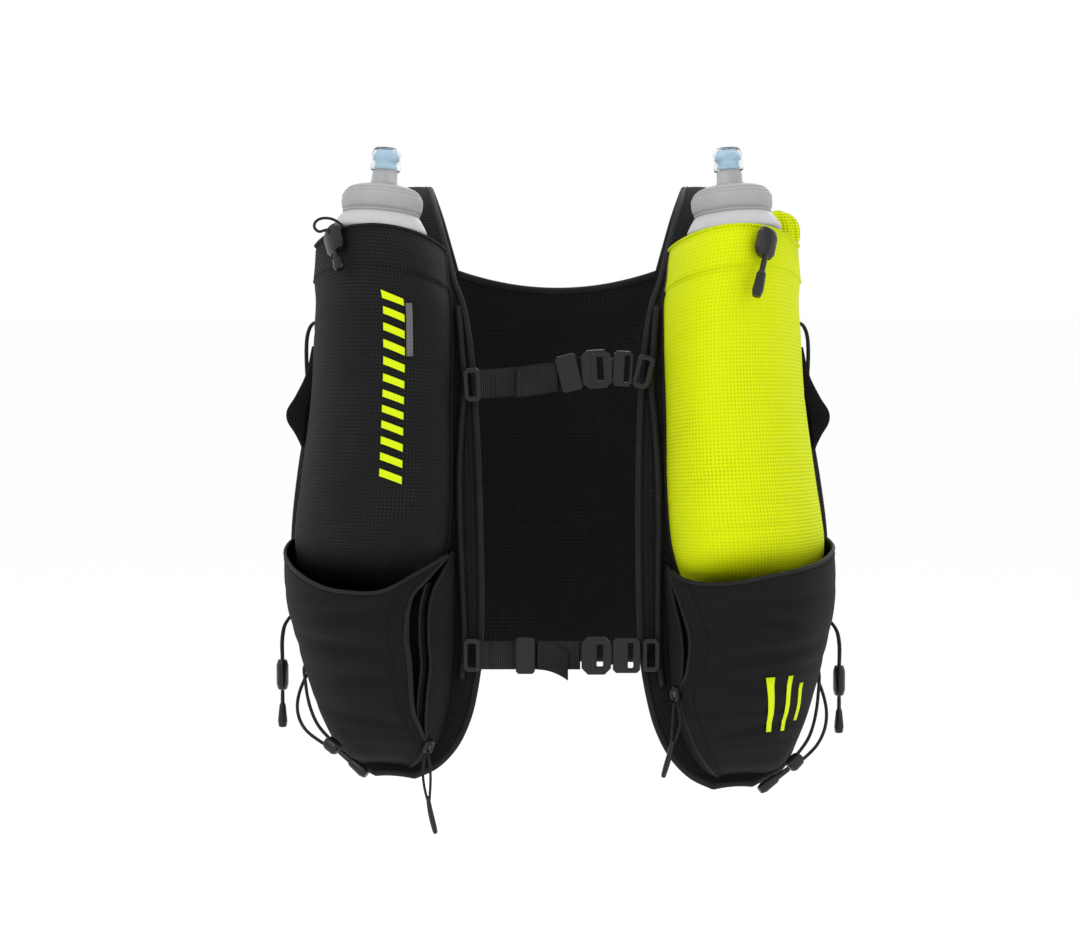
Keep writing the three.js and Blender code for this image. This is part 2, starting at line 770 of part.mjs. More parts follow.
function lowerPoint(side, z, v, inset) {
  const { place, inner, outer, depth } = lowerSection(side, z);
  const { across, out } = pocketArc(v, 2.6);
  const middle = (inner + outer) / 2;
  const distance = middle + across * ((outer - inner) / 2 - inset);
  const base = harnessPoint(side, place, acrossAt(place, distance), seatGap);
  const rise = Math.max(depth - inset - (depth > 12 ? foldDepth(z, v) : 0), 0);
  return base.addScaledVector(outward(side, lowerSplay), rise * out);
}

const lowerSeamDrop = lowerRows[lowerRows.length - 1].drop;

function lowerLevel(side, u, v, inset) {
  const rim = -along(lowerRims[side], 'across', v, 'drop') * frontDrop;
  const seam = -lowerSeamDrop * frontDrop + inset;
  return seam + (rim - seam) * u;
}

function addLowerPocket(side) {
  const levels = [0, 0.04, 0.11, 0.21, 0.33, 0.46, 0.60, 0.74, 0.87, 1];
  const columns = 11;
  const front = (inset) => (u, w) => {
    const level = levels[Math.round(u * (levels.length - 1))];
    let z = lowerLevel(side, level, 0.5, inset);
    let v = w;
    for (let pass = 0; pass < 3; pass += 1) {
      const { zip, gape } = lowerSection(side, z);
      const start = zip + gape / 2;
      v = start + (1 - start) * w;
      z = lowerLevel(side, level, v, inset);
    }
    return lowerPoint(side, z, v, inset);
  };
  add(`lower_pocket_${suffix(side)}`,
    sheet(levels.length - 1, columns, front(0), front(clothWall)), looks.blackCloth);

  const gusset = (inset) => (u, w) => {
    const level = levels[Math.round(u * (levels.length - 1))];
    let z = lowerLevel(side, level, 0.2, inset);
    let v = w;
    for (let pass = 0; pass < 3; pass += 1) {
      const { zip, gape } = lowerSection(side, z);
      v = (zip - gape / 2) * w;
      z = lowerLevel(side, level, v, inset);
    }
    return lowerPoint(side, z, v, inset);
  };
  add(`pocket_gusset_${suffix(side)}`,
    sheet(levels.length - 1, 3, gusset(0), gusset(clothWall)), looks.blackCloth);
}

// A zip tape lies under one edge of the zip. edge is +1 for the pocket front's tape.
function addZipTape(side, edge, name) {
  const top = lowerRims[side][1].drop + 0.04;
  const bottom = 0.958;
  const layer = (inset) => (u, w) => {
    const z = -THREE.MathUtils.lerp(bottom, top, u) * frontDrop;
    const { zip, gape, inner, outer } = lowerSection(side, z);
    const span = outer - inner;
    const tuck = zipTapeWidth * 0.25 / span;
    const show = Math.min(zipTapeWidth * 0.45 / span, gape / 2 - 0.005);
    const v = zip + edge * (gape / 2 + THREE.MathUtils.lerp(tuck, -show, w));
    return lowerPoint(side, z, v, inset);
  };
  const under = clothWall + 8 * seatGap;
  add(`zip_tape_${name}_${suffix(side)}`,
    sheet(11, 1, layer(under), layer(under + zipTapeThickness)), looks.webbing);
}

function addZipSlider(side) {
  const z = -zipSliderDrop[side] * frontDrop;
  const { zip } = lowerSection(side, z);
  const place = lowerPoint(side, z, zip, 0);
  const above = lowerPoint(side, z + 6, zip, 0);
  const up = above.clone().sub(place).normalize();
  const aside = lowerPoint(side, z, zip + 0.03, 0).sub(place).normalize();
  const out = aside.cross(up).multiplyScalar(side).normalize();
  const name = suffix(side);
  const body = block(7.5, 3.2, 9.5, 1.6);
  const bodyPlace = place.clone().addScaledVector(out, 3.2 / 2 + seatGap);
  stand(add(`zip_slider_${name}`, body, looks.plastic), bodyPlace, up, out);

  const hang = zipPull[side];
  const start = bodyPlace.clone().addScaledVector(up, -9.5 / 2 - 1).addScaledVector(out, 1.2);
  const points = hang.map(([x, y, drop]) => start.clone().add(new THREE.Vector3(x, y, -drop)));
  const widths = [4.4, 8.6, 8.6, 4.0, 2.6, 2.6, 5.2, 6.6, 6.2, 3.0];
  const curve = new THREE.CatmullRomCurve3(points, false, 'centripetal');
  const pull = loft(widths.length, 10, (i, share) => {
    const angle = 2 * Math.PI * share;
    const point = curve.getPointAt(i / (widths.length - 1));
    point.x += Math.cos(angle) * widths[i] / 2;
    point.y += Math.sin(angle) * Math.min(widths[i], 4.4) / 2;
    return point;
  });
  add(`zip_pull_${name}`, pull, looks.cord);
}

// Zip pulls hang from their sliders: sideways, forward and down from the slider.
const zipPull = {
  [-1]: [[0, 0, 0], [0, -3, 14], [1.5, -3, 32], [5.5, -2, 50]],
  [1]: [[0, -0.5, 0], [0.5, -3, 13], [-3, -4, 29], [-8, -4, 47]],
};

// Rails of piping for the sternum straps

function railPoint(side, z) {
  const place = frontPlace(z);
  const inset = along(railRows, 'drop', -z / frontDrop, 'inset') * edgeStrip;
  const across = acrossAt(place, panelEdgeDistance(place) + inset);
  return harnessPoint(side, place, across, railDiameter / 2 + seatGap);
}

function addRail(side) {
  const top = railRows[0].drop;
  const bottom = railRows[railRows.length - 1].drop;
  const points = [];
  const count = 14;
  for (let i = 0; i <= count; i += 1) {
    points.push(railPoint(side, -THREE.MathUtils.lerp(bottom, top, i / count) * frontDrop));
  }
  add(`rail_${suffix(side)}`, tube(points, railDiameter, 17), looks.webbing);
}

// Stretch mesh pocket mouth behind the bottle pocket at the flank

const meshSwell = table('up swell', [
  [0, 0], [0.13, 0.42], [0.26, 0.90], [0.37, 1], [0.50, 0.72], [0.74, 0.30], [1, 0.16],
]);

function addSideMesh(side) {
  const top = 0.26;
  const bottom = 0.44;
  const layer = (inset) => (u, v) => {
    const { across, out } = pocketArc(v, 2.2);
    const drop = THREE.MathUtils.lerp(bottom, top, u);
    const z = -drop * frontDrop + inset * (1 - u);
    const place = frontPlace(z);
    const middle = 0.981;
    const reach = 0.014 - inset / panelWidth * 0.5;
    const base = harnessPoint(side, place, middle + across * reach, seatGap);
    const swell = along(meshSwell, 'up', u, 'swell');
    const rise = Math.max(meshPocketDepth * swell - inset, 0) * out;
    return base.add(new THREE.Vector3(side * 0.985, -0.17, 0).multiplyScalar(rise));
  };
  add(`side_mesh_${suffix(side)}`, sheet(7, 4, layer(0), layer(clothWall * 0.8)), looks.mesh);
}

// Side straps from the back panel forward round the flank

function addSideStrap(side) {
  const lift = seatGap + webThickness / 2 + sideStrapLift;
  const onBack = (across) => backPoint(-sideStrapDrop, side * across, lift);
  const front = harnessPoint(side, frontPlace(-sideStrapDrop), 1, 0);
  const fromFront = (inward, back, down) => new THREE.Vector3(
    side * (Math.abs(front.x) - inward), front.y + back, -sideStrapDrop - down);
  const points = [
    onBack(0.88),
    onBack(0.96),
    onBack(1.04),
    fromFront(20, 74, 0),
    fromFront(9, 42, 1),
    fromFront(7.5, 13, 3),
  ];
  const curve = new THREE.CatmullRomCurve3(points, false, 'centripetal');
  const layer = (offset) => (u, v) => {
    const point = curve.getPointAt(u);
    const tangent = curve.getTangentAt(u);
    const flat = new THREE.Vector3(tangent.y, -tangent.x, 0).multiplyScalar(-side).normalize();
    point.addScaledVector(flat, offset);
    point.z += (v - 0.5) * sideStrapWidth;
    return point;
  };
  add(`side_strap_${suffix(side)}`,
    sheet(12, 1, layer(webThickness / 2), layer(-webThickness / 2)), looks.webbing);
}

// Sternum straps, each from a ring on one rail to a ring on the other

// Places along a strap in millimetres from the middle plane, and its rise there.
const sternumStraps = {
  upper_sternum: {
    drop: upperStrapDrop,
    keeper: 7.4, keeperSize: 12.6, tail: [-36, 0.5], tailTurn: 0,
    rises: table('at rise', [[-60, -6], [-30, -4], [0, 0], [14, 3.4], [30, 4.8], [46, 4.4], [60, 1]]),
  },
  lower_sternum: {
    drop: lowerStrapDrop,
    keeper: -20, keeperSize: 12, tail: [-12, 7], tailTurn: 7,
    rises: table('at rise', [[-60, 0], [0, 0], [60, 0]]),
  },
};
const buckleStart = 15.5;
const buckleSplit = buckleStart + 0.62 * buckleLength;

function strapBlock(name, material, line, from, to, thickness, height, corner) {
  const start = line(from);
  const end = line(to);
  const run = end.clone().sub(start);
  const middle = start.clone().add(end).multiplyScalar(0.5);
  const mesh = add(name, block(run.length(), thickness, height, corner), material);
  const up = new THREE.Vector3(0, 0, 1).addScaledVector(run, -run.z / run.lengthSq());
  const out = new THREE.Vector3().crossVectors(run, up).normalize();
  return stand(mesh, middle, up, out);
}

function cutBlock(geometry, hollows) {
  let solid = asSolid(geometry);
  for (const hollow of hollows) solid = solid.subtract(asSolid(hollow));
  return asGeometry(solid);
}

function joined(geometries) {
  let solid = asSolid(geometries[0]);
  for (const geometry of geometries.slice(1)) solid = solid.add(asSolid(geometry));
  return asGeometry(solid);
}

// Webbing with its end folded back through the keeper and lying on itself.
function addStrapWebbing(name, strap, line, from, to) {
  const fold = 2 * webThickness + seatGap;
  const ribbon = (a, b, offset, turn) => {
    const layer = (side) => (u, v) => {
      const point = line(THREE.MathUtils.lerp(a, b, u));
      point.y += offset + side * webThickness / 2;
      point.z += (v - 0.5) * webWidth - turn * u * u;
      return point;
    };
    return sheet(5, 1, layer(-1), layer(1));
  };
  const main = ribbon(from, to, 0, 0);
  const tail = ribbon(strap.tail[0], strap.tail[1], -webThickness - seatGap, strap.tailTurn);
  const foldBlock = block(2, fold, webWidth * 0.9, 0.2);
  const foldAt = line(strap.tail[0] + 1.4);
  foldBlock.translate(foldAt.x, foldAt.y - fold / 2 + webThickness * 0.75, foldAt.z);
  add(`${name}_webbing`, joined([main, tail, foldBlock]), looks.webbing);
}

function addSternumStrap(name) {
  const strap = sternumStraps[name];
  const z = (x) => -strap.drop + along(strap.rises, 'at', x, 'rise');
  const rails = { [-1]: railPoint(-1, z(-60)), [1]: railPoint(1, z(60)) };
  const depth = Math.min(rails[-1].y, rails[1].y) - strapStandoff + railDiameter / 2;
  const line = (x) => new THREE.Vector3(x, depth, z(x));
  for (const side of [-1, 1]) {
    const outer = rails[side].x;
    const inner = outer - side * ringWidth;
    const ring = strapBlock(`${name}_ring_${suffix(side)}`, looks.plastic, line,
      Math.min(outer, inner), Math.max(outer, inner), ringThickness, ringHeight, 2);
    const window = block(ringWidth - 5.4, ringThickness * 3, ringHeight - 6, 0.8);
    ring.geometry = cutBlock(ring.geometry, [window]);
  }
  const webStart = rails[-1].x + ringWidth + 2 * seatGap;
  addStrapWebbing(name, strap, line, webStart, buckleStart - 2 * seatGap);

  const wrap = 2 * webThickness + 3 * seatGap;
  const keeper = strapBlock(`${name}_keeper`, looks.plastic, line,
    strap.keeper - strap.keeperSize / 2, strap.keeper + strap.keeperSize / 2,
    wrap + 3, webWidth + 5, 1.5);
  const slot = block(keeperLength * 3, wrap, webWidth + 1.4, 0.2);
  keeper.geometry = cutBlock(keeper.geometry, [slot]);
  keeper.position.y -= (webThickness + seatGap) / 2;

  const female = strapBlock(`${name}_buckle_female`, looks.plastic, line,
    buckleStart, buckleSplit, buckleThickness, buckleWidth, 4);
  const cavity = block(buckleLength, buckleThickness - 4, buckleWidth - 7, 0.5);
  cavity.translate(buckleLength / 2 - 5, 0, 0);
  const slit = block(4, buckleThickness * 2, buckleWidth - 9, 0.5);
  slit.translate(2.3, 0, 0);
  female.geometry = cutBlock(female.geometry, [cavity, slit]);

  const male = strapBlock(`${name}_buckle_male`, looks.plastic, line,
    buckleSplit + 3 * seatGap, rails[1].x - ringWidth - 4.5 * seatGap, buckleThickness - 1, buckleWidth - 2, 2);
  const bar = block(3.4, buckleThickness * 2, webWidth - 1, 0.5);
  bar.translate(2.6, 0, 0);
  const prongs = block(6, buckleThickness - 4.8, buckleWidth - 12, 1);
  prongs.translate(-(rails[1].x - ringWidth - buckleSplit) / 2 - 1, 0, 0);
  male.geometry = joined([cutBlock(male.geometry, [bar]), prongs]);
}

// Cords that hang or lie free. Each route is a short list of points from its anchor.

function addCord(name, points, diameter = cordDiameter) {
  add(name, tube(points, diameter), looks.cord);
}

// Elastic loops at the flank, hanging from the front panel's outer edge
const poleLoops = {
  upperDrop: 80,
  lowerDrop: 274,
  upperLength: 42,
  lowerLength: 26,
  spread: 4.4,
  behind: 5.4,
};

function addPoleLoops(side) {
  const name = suffix(side);
  const upper = harnessPoint(side, frontPlace(-poleLoops.upperDrop), 1, 0);
  upper.add(new THREE.Vector3(side * 1.6, poleLoops.behind, 0));
  const w = poleLoops.spread / 2;
  const d = poleLoops.upperLength;
  const route = [
    [0, -w, 0], [3, -w - 0.4, -1.5], [5.6, -w - 1.0, -8], [6.2, -w - 1.6, -18], [6, -w - 1.6, -28],
    [5.6, -w - 0.6, -d + 5], [5.4, -w + 1.0, -d + 1], [5.3, 0, -d], [5.4, w - 1.0, -d + 1],
    [5.6, w + 0.6, -d + 5], [6, w + 1.6, -28], [6.2, w + 1.6, -18], [5.6, w + 1.0, -8],
    [3, w + 0.4, -1.5], [0, w, 0],
  ];
  const at = (origin) => ([x, y, z]) => origin.clone().add(new THREE.Vector3(side * x, y, z));
  addCord(`upper_loop_${name}`, route.map(at(upper)));

  const lower = harnessPoint(side, frontPlace(-poleLoops.lowerDrop), 1, 0);
  lower.add(new THREE.Vector3(side * 2.2, 0, 0));
  const l = poleLoops.lowerLength;
  const loop = [
    [6.6, -w, -l], [6.8, -w - 0.6, -l + 6], [6.8, -w - 1.2, -14], [5.8, -w - 1.0, -6],
    [3, -w - 0.3, -1], [0.2, -w + 0.8, 0.6], [-0.6, 0, 0.8], [0.2, w - 0.8, 0.6],
    [3, w + 0.3, -1], [5.8, w + 1.0, -6], [6.8, w + 1.2, -14], [6.8, w + 0.6, -l + 6], [6.6, w, -l],
  ];
  const shifted = at(lower.clone().add(new THREE.Vector3(side * 1.2, 0, 0)));
  addCord(`lower_loop_${name}`, loop.map(shifted));
  const lockHeight = 20;
  const lockTop = shifted([6.6, 0, -l - seatGap]);
  const lock = add(`loop_lock_${name}`, barrel(8, 11, lockHeight, 12), looks.plastic);
  lock.position.copy(lockTop).add(new THREE.Vector3(0, 0, -lockHeight / 2));
  const toggle = add(`loop_toggle_${name}`, turned([
    [0, 0], [1.3, 0], [1.4, -8], [2.2, -10], [3.2, -20], [2.6, -24], [0, -24.6],
  ].reverse(), 12), looks.plastic);
  toggle.position.copy(lockTop).add(new THREE.Vector3(0, 0, -lockHeight - seatGap));
}

const sideLockHeight = 11;
const frontwards = new THREE.Vector3(0, -1, 0);
const sideToggleWay = { [-1]: [0.78, -0.35, -0.62], [1]: [-0.80, -0.30, -0.55] };

// Side adjusting cords: a loop from the side strap's end forward to a lock at the lower
// pocket's outer corner. Each route is listed in full, from the lock and back to it.
const sideCordRoutes = {
  [-1]: [
    [-146.0, -97, -343], [-151.5, -94, -338], [-156.0, -87, -331], [-159.5, -76, -324],
    [-162.0, -63, -317], [-163.5, -50, -311], [-165.2, -40, -306.5], [-164.6, -31, -303],
    [-161.5, -24, -302.5], [-157.0, -20, -303], [-159.4, -21.5, -306], [-163.0, -28, -309],
    [-165.0, -37, -313], [-167.2, -49, -319], [-168.0, -61, -325], [-167.0, -73, -331],
    [-163.5, -84, -337], [-158.0, -92.5, -342], [-150.5, -98.5, -346],
  ],
  [1]: [
    [154.5, -92, -353.5], [159.5, -88.5, -348], [163.5, -81, -341], [166.5, -71, -333],
    [168.6, -60, -325], [170.0, -49, -317.5], [171.2, -39, -311], [171.0, -30, -306],
    [168.4, -23.5, -303.5], [163.6, -19.5, -303], [166.0, -21, -307], [169.5, -27, -311.5],
    [172.0, -36, -317], [174.0, -48, -324.5], [174.6, -60, -331.5], [173.2, -71, -339],
    [169.6, -81, -346], [164.5, -89, -352], [158.6, -93.5, -356.5],
  ],
};

function addSideCord(side) {
  const name = suffix(side);
  const route = sideCordRoutes[side].map((p) => new THREE.Vector3(...p));
  addCord(`side_cord_${name}`, route);
  const ends = [route[0], route[route.length - 1]];
  const inward = ends[0].clone().sub(route[1]).add(ends[1].clone().sub(route[route.length - 2]));
  const down = inward.normalize();
  const middle = ends[0].clone().add(ends[1]).multiplyScalar(0.5);
  const lock = add(`side_lock_${name}`, barrel(9.5, 8, sideLockHeight), looks.plastic);
  const up = down.clone().negate();
  stand(lock, middle.clone().addScaledVector(down, sideLockHeight / 2 + 1.6), up, frontwards);
  const toggle = add(`side_toggle_${name}`, turned(togglePart(24), 10), looks.plastic);
  const hang = new THREE.Vector3(...sideToggleWay[side]).normalize();
  const start = middle.clone().addScaledVector(down, sideLockHeight + 1.6 + seatGap + 0.8);
  stand(toggle, start, hang.negate(), frontwards);
}

// Profile of a cord end: two cords side by side running into a tapered toggle.
function togglePart(length) {
  return [
    [0, -length], [2.6, -length], [3.6, -0.86 * length], [3.0, -0.45 * length],
    [1.9, -0.38 * length], [1.7, 0], [0, 0],
  ];
}

// Cord locks on the hems of the bottle pockets, each with a hanging end
const hemLocks = {
  [-1]: { down: 0, place: 0.57, width: 19, height: 17, end: 14 },
  [1]: { down: 3, place: 0.52, width: 17, height: 18, end: 28 },
};

function addHemLock(side) {
  const name = suffix(side);
  const { down, place, width, height, end } = hemLocks[side];
  const z = -rimDrop + rimRise - down - height / 2;
  const spot = bottlePoint(side, z, place, clothWall - hemWall);
  const above = bottlePoint(side, z + 4, place, clothWall - hemWall);
  const aside = bottlePoint(side, z, place + 0.04, clothWall - hemWall);
  const up = above.sub(spot).normalize();
  const out = aside.sub(spot).cross(up).multiplyScalar(side).normalize();
  const thickness = 8;
  const hanger = turned(togglePart(end), 10);
  hanger.translate(0, -1.5, -height / 2 + 1);
  const lock = joined([barrel(width, thickness, height), hanger]);
  const seat = spot.clone().addScaledVector(out, thickness / 2 + 1.5 * seatGap);
  stand(add(`hem_lock_${name}`, lock, looks.plastic), seat, up, out);
}

addHarnessPanel(-1);
addHarnessPanel(1);
addBackPanel();
addBackPocket();
addBottlePocket(-1, looks.blackCloth);
addBottlePocket(1, looks.yellowCloth);
for (const side of [-1, 1]) {
  addFlask(side);
  addLowerPocket(side);
  addZipTape(side, 1, 'front');
  addZipTape(side, -1, 'back');
  addZipSlider(side);
  addRail(side);
  addSideMesh(side);
  addSideStrap(side);
  addPoleLoops(side);
  addSideCord(side);
  addHemLock(side);
}
addSternumStrap('upper_sternum');
addSternumStrap('lower_sternum');

export default vest;
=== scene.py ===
# Running hydration vest with two soft flasks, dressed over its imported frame.
# Lengths in the tables and functions below are millimetres, and meshes are in metres.
import bmesh
import bpy
import math
from bisect import bisect_left
from functools import cache
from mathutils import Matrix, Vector


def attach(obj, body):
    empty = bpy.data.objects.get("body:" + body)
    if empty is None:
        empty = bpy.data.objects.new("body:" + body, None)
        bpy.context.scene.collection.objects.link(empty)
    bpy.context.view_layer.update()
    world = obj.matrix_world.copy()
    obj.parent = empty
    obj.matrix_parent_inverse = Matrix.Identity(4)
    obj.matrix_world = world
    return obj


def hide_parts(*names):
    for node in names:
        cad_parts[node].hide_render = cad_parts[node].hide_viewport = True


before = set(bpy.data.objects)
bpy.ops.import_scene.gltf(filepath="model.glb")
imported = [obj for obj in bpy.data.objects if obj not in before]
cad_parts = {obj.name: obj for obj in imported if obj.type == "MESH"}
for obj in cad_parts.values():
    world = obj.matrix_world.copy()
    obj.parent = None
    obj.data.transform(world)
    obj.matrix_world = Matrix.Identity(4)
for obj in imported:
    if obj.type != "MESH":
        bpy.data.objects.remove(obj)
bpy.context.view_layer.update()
MM = 0.001


# Sizes, as in the part

FRONT_DROP, CHEST_DEPTH, BACK_DEPTH, BACK_DROP = 367, 114, 104, 312
BACK_HALF_WIDTH, NECK_HALF_WIDTH, SHOULDER_SLOPE, NECK_DIP = 126, 76, 16, 12
PAD, EDGE_STRIP, SIDE_MARGIN, WORN_DROP, WORN_SPREAD = 4, 20, 12, 7, 9
WALL, SEAT_GAP = 1.4, 0.4
FLASK_WIDTH, FLASK_DEPTH, FLASK_LENGTH, FLASK_FIT, FLASK_TOP = 74, 56, 206, 2.0, 16
RIM_DROP, RIM_RISE, BOTTLE_SEAM = 34, 13, 26
LOWER_DEPTH, LOWER_SPLAY, BOTTLE_SPLAY = 66, 0.20, 0.08
REAR_DEPTH, REAR_RIM, REAR_SEAM, MESH_DEPTH = 40, 96, 300, 14
CAP_DIAMETER, CAP_HEIGHT, STEM_DIAMETER = 51, 17, 17
SHIELD_DIAMETER, SHIELD_HEIGHT, STEM_HEIGHT, CAP_CLEARANCE = 18.6, 15, 8, 3.6
LEAN_IN, LEAN_BACK = 5, 8
RAIL_DIAMETER, CORD_DIAMETER = 4.4, 2.2
POCKET_WIDTH = FLASK_WIDTH + 2 * (FLASK_FIT + WALL) + 3
PANEL_WIDTH = EDGE_STRIP + POCKET_WIDTH + SIDE_MARGIN
SEAM_DROP = FLASK_TOP + FLASK_LENGTH + BOTTLE_SEAM
BOTTLE_DEPTH = FLASK_DEPTH + 2 * FLASK_FIT + WALL


def table(names, rows):
    """Rows of numbers with names for their columns."""
    return [dict(zip(names.split(), row)) for row in rows]


HARNESS_ROWS = table("drop edge width inner_depth outer_depth tuck bow", [
    (1.000, 1.20, 0.22, 0.87, 0.76, 0, 0.015),
    (0.982, 1.00, 0.52, 0.88, 0.60, 0, 0.055),
    (0.951, 0.85, 0.70, 0.90, 0.47, 0, 0.105),
    (0.910, 0.745, 0.83, 0.91, 0.39, 0, 0.145),
    (0.864, 0.68, 0.92, 0.92, 0.33, 0, 0.175),
    (0.790, 0.625, 1.02, 0.94, 0.27, 0, 0.20),
    (0.700, 0.61, 1.095, 0.96, 0.22, 0, 0.215),
    (0.594, 0.615, 1.10, 0.985, 0.21, 0, 0.225),
    (0.477, 0.63, 1.05, 1.00, 0.22, 0, 0.225),
    (0.357, 0.66, 0.965, 1.00, 0.24, 0, 0.215),
    (0.264, 0.70, 0.905, 0.99, 0.26, 0, 0.195),
    (0.188, 0.765, 0.83, 0.93, 0.27, 0, 0.165),
    (0.139, 0.85, 0.74, 0.85, 0.28, 0, 0.135),
    (0.071, 0.94, 0.63, 0.67, 0.26, 0.3, 0.10),
    (0.012, 1.03, 0.52, 0.42, 0.18, 0.75, 0.07),
    (-0.018, 1.08, 0.48, 0.14, 0.04, 1.0, 0.055),
    (-0.022, 1.09, 0.47, -0.10, -0.12, 1.0, 0.05),
    (-0.006, 1.07, 0.47, -0.35, -0.32, 0.9, 0.04),
    (0.030, 1.02, 0.48, -0.57, -0.52, 0.7, 0.03),
    (0.080, 0.96, 0.50, -0.75, -0.67, 0.35, 0.018),
    (0.128, 0.90, 0.515, -0.86, -0.76, 0, 0.012),
])
BACK_ROWS = table("drop half_width middle_depth edge_depth", [
    (0.150, 1.00, 0.93, 0.77),
    (0.230, 0.93, 0.98, 0.82),
    (0.340, 0.86, 1.00, 0.86),
    (0.580, 0.82, 0.98, 0.83),
    (0.830, 0.88, 0.88, 0.70),
    (0.940, 0.90, 0.83, 0.64),
    (1.000, 0.84, 0.80, 0.63),
])
BOTTLE_ROWS = table("drop inner width depth", [
    (-0.20, -0.22, 0.99, 1.86),
    (0.00, -0.20, 0.99, 1.46),
    (0.12, -0.15, 1.03, 1.24),
    (0.25, -0.09, 1.06, 1.09),
    (0.45, -0.03, 1.08, 1.01),
    (0.70, 0.00, 1.16, 1.02),
    (0.84, 0.03, 1.19, 0.97),
    (0.91, 0.07, 1.15, 0.80),
    (0.955, 0.11, 1.09, 0.55),
    (0.985, 0.15, 1.00, 0.28),
    (1.00, 0.18, 0.92, 0.00),
])
LOWER_ROWS = table("drop inner outer depth", [
    (0.560, 0.86, 0.20, 1.04),
    (0.620, 0.88, 0.15, 1.05),
    (0.678, 0.90, 0.12, 1.03),
    (0.740, 0.90, 0.12, 0.96),
    (0.800, 0.86, 0.12, 0.86),
    (0.860, 0.80, 0.14, 0.74),
    (0.910, 0.72, 0.16, 0.60),
    (0.950, 0.62, 0.18, 0.45),
    (0.978, 0.50, 0.20, 0.28),
    (0.992, 0.42, 0.22, 0.00),
])
LOWER_FOLDS = table("drop across height reach depth tilt", [
    (0.715, 0.55, 0.012, 0.30, 0.050, 0.10),
    (0.760, 0.62, 0.014, 0.28, 0.060, -0.06),
    (0.835, 0.66, 0.016, 0.24, 0.050, 0.08),
    (0.900, 0.52, 0.012, 0.20, 0.045, -0.05),
])
FLASK_SECTIONS = table("down width depth lean aside", [
    (0.000, 0.36, 0.40, 0.10, 0.17),
    (0.014, 0.66, 0.60, 0.10, 0.14),
    (0.050, 0.80, 0.66, 0.08, 0.05),
    (0.110, 0.82, 0.74, 0.04, 0.02),
    (0.300, 0.90, 0.92, 0, 0),
    (0.550, 1.00, 1.00, 0, 0),
    (0.800, 1.00, 1.00, 0, 0),
    (0.900, 0.94, 0.84, 0, 0),
    (0.960, 0.78, 0.56, 0, 0),
    (1.000, 0.50, 0.24, 0, 0),
])
RAIL_ROWS = table("drop inset", [
    (0.190, 0.24),
    (0.260, 0.33),
    (0.320, 0.36),
    (0.400, 0.56),
    (0.500, 0.70),
    (0.660, 0.68),
    (0.760, 0.60),
    (0.830, 0.56),
])
MESH_SWELL = table("up swell", [
    (0, 0), (0.13, 0.42), (0.26, 0.90), (0.37, 1), (0.50, 0.72), (0.74, 0.30), (1, 0.16),
])
LOWER_RIMS = {
    -1: table("across drop", [
        (0.00, 0.606), (0.10, 0.615), (0.24, 0.634), (0.40, 0.664), (0.52, 0.664),
        (0.68, 0.641), (0.80, 0.624), (0.90, 0.613), (1.00, 0.602)]),
    1: table("across drop", [
        (0.00, 0.622), (0.10, 0.638), (0.24, 0.645), (0.40, 0.640), (0.52, 0.627),
        (0.68, 0.6145), (0.80, 0.605), (0.90, 0.600), (1.00, 0.592)]),
}
ZIP_LINES = {
    -1: table("drop zip gape", [
        (0.590, 0.036, 0.03), (0.612, 0.042, 0.03), (0.634, 0.115, 0.07), (0.672, 0.215, 0.11),
        (0.74, 0.25, 0.12), (0.80, 0.25, 0.12), (0.88, 0.255, 0.09), (0.92, 0.215, 0.04),
        (0.945, 0.158, 0.014), (1, 0.17, 0.014)]),
    1: table("drop zip gape", [
        (0.590, 0.036, 0.02), (0.640, 0.040, 0.024), (0.68, 0.085, 0.05), (0.74, 0.145, 0.06),
        (0.80, 0.135, 0.04), (0.838, 0.075, 0.014), (0.90, 0.11, 0.014), (1, 0.20, 0.014)]),
}

# Creases of the bottle pockets: distance below the rim, place across, tilt, reach, width and depth
CREASES = {
    -1: [(52, 0.70, 0.25, 0.22, 2.2, 1.0), (78, 0.30, -0.2, 0.20, 2.4, 0.9),
         (150, 0.65, 0.30, 0.20, 2.4, 1.4), (166, 0.35, -0.25, 0.18, 2.2, 1.3),
         (181, 0.60, 0.15, 0.22, 2.0, 1.5), (120, 0.82, 0.5, 0.10, 2.4, 1.0)],
    1: [(60, 0.30, -0.25, 0.20, 2.4, 0.9), (92, 0.72, 0.25, 0.18, 2.4, 1.0),
        (150, 0.32, -0.30, 0.20, 2.4, 1.4), (168, 0.62, 0.22, 0.20, 2.2, 1.4),
        (184, 0.40, -0.15, 0.22, 2.0, 1.4), (118, 0.16, -0.5, 0.10, 2.4, 1.0)],
}
# Soft folds of the lower pockets: distance below the shoulder, then the same values
SOFT_FOLDS = {
    -1: [(248, 0.62, 0.10, 0.22, 3.6, 1.3), (262, 0.45, -0.10, 0.20, 3.6, 1.2),
         (283, 0.70, 0.18, 0.22, 4.2, 1.5), (301, 0.50, -0.12, 0.25, 3.8, 1.1),
         (322, 0.66, 0.10, 0.22, 3.6, 1.0), (340, 0.50, -0.06, 0.25, 2.8, 1.2)],
    1: [(247, 0.55, -0.12, 0.24, 3.2, 1.6), (268, 0.42, 0.16, 0.20, 3.0, 1.8),
        (292, 0.60, -0.10, 0.24, 3.4, 1.6), (318, 0.48, 0.10, 0.22, 3.0, 1.6),
        (340, 0.55, -0.06, 0.24, 2.6, 1.4)],
}


# Camera at the photograph's angle, with its place in metres

CAMERA_TILT, CAMERA_DISTANCE, FOCAL_LENGTH = math.radians(3.0), 2.5, 129.2
PHOTO_WIDTH, SHIFT_ACROSS, SHIFT_UP = 1080, -17, -1.5


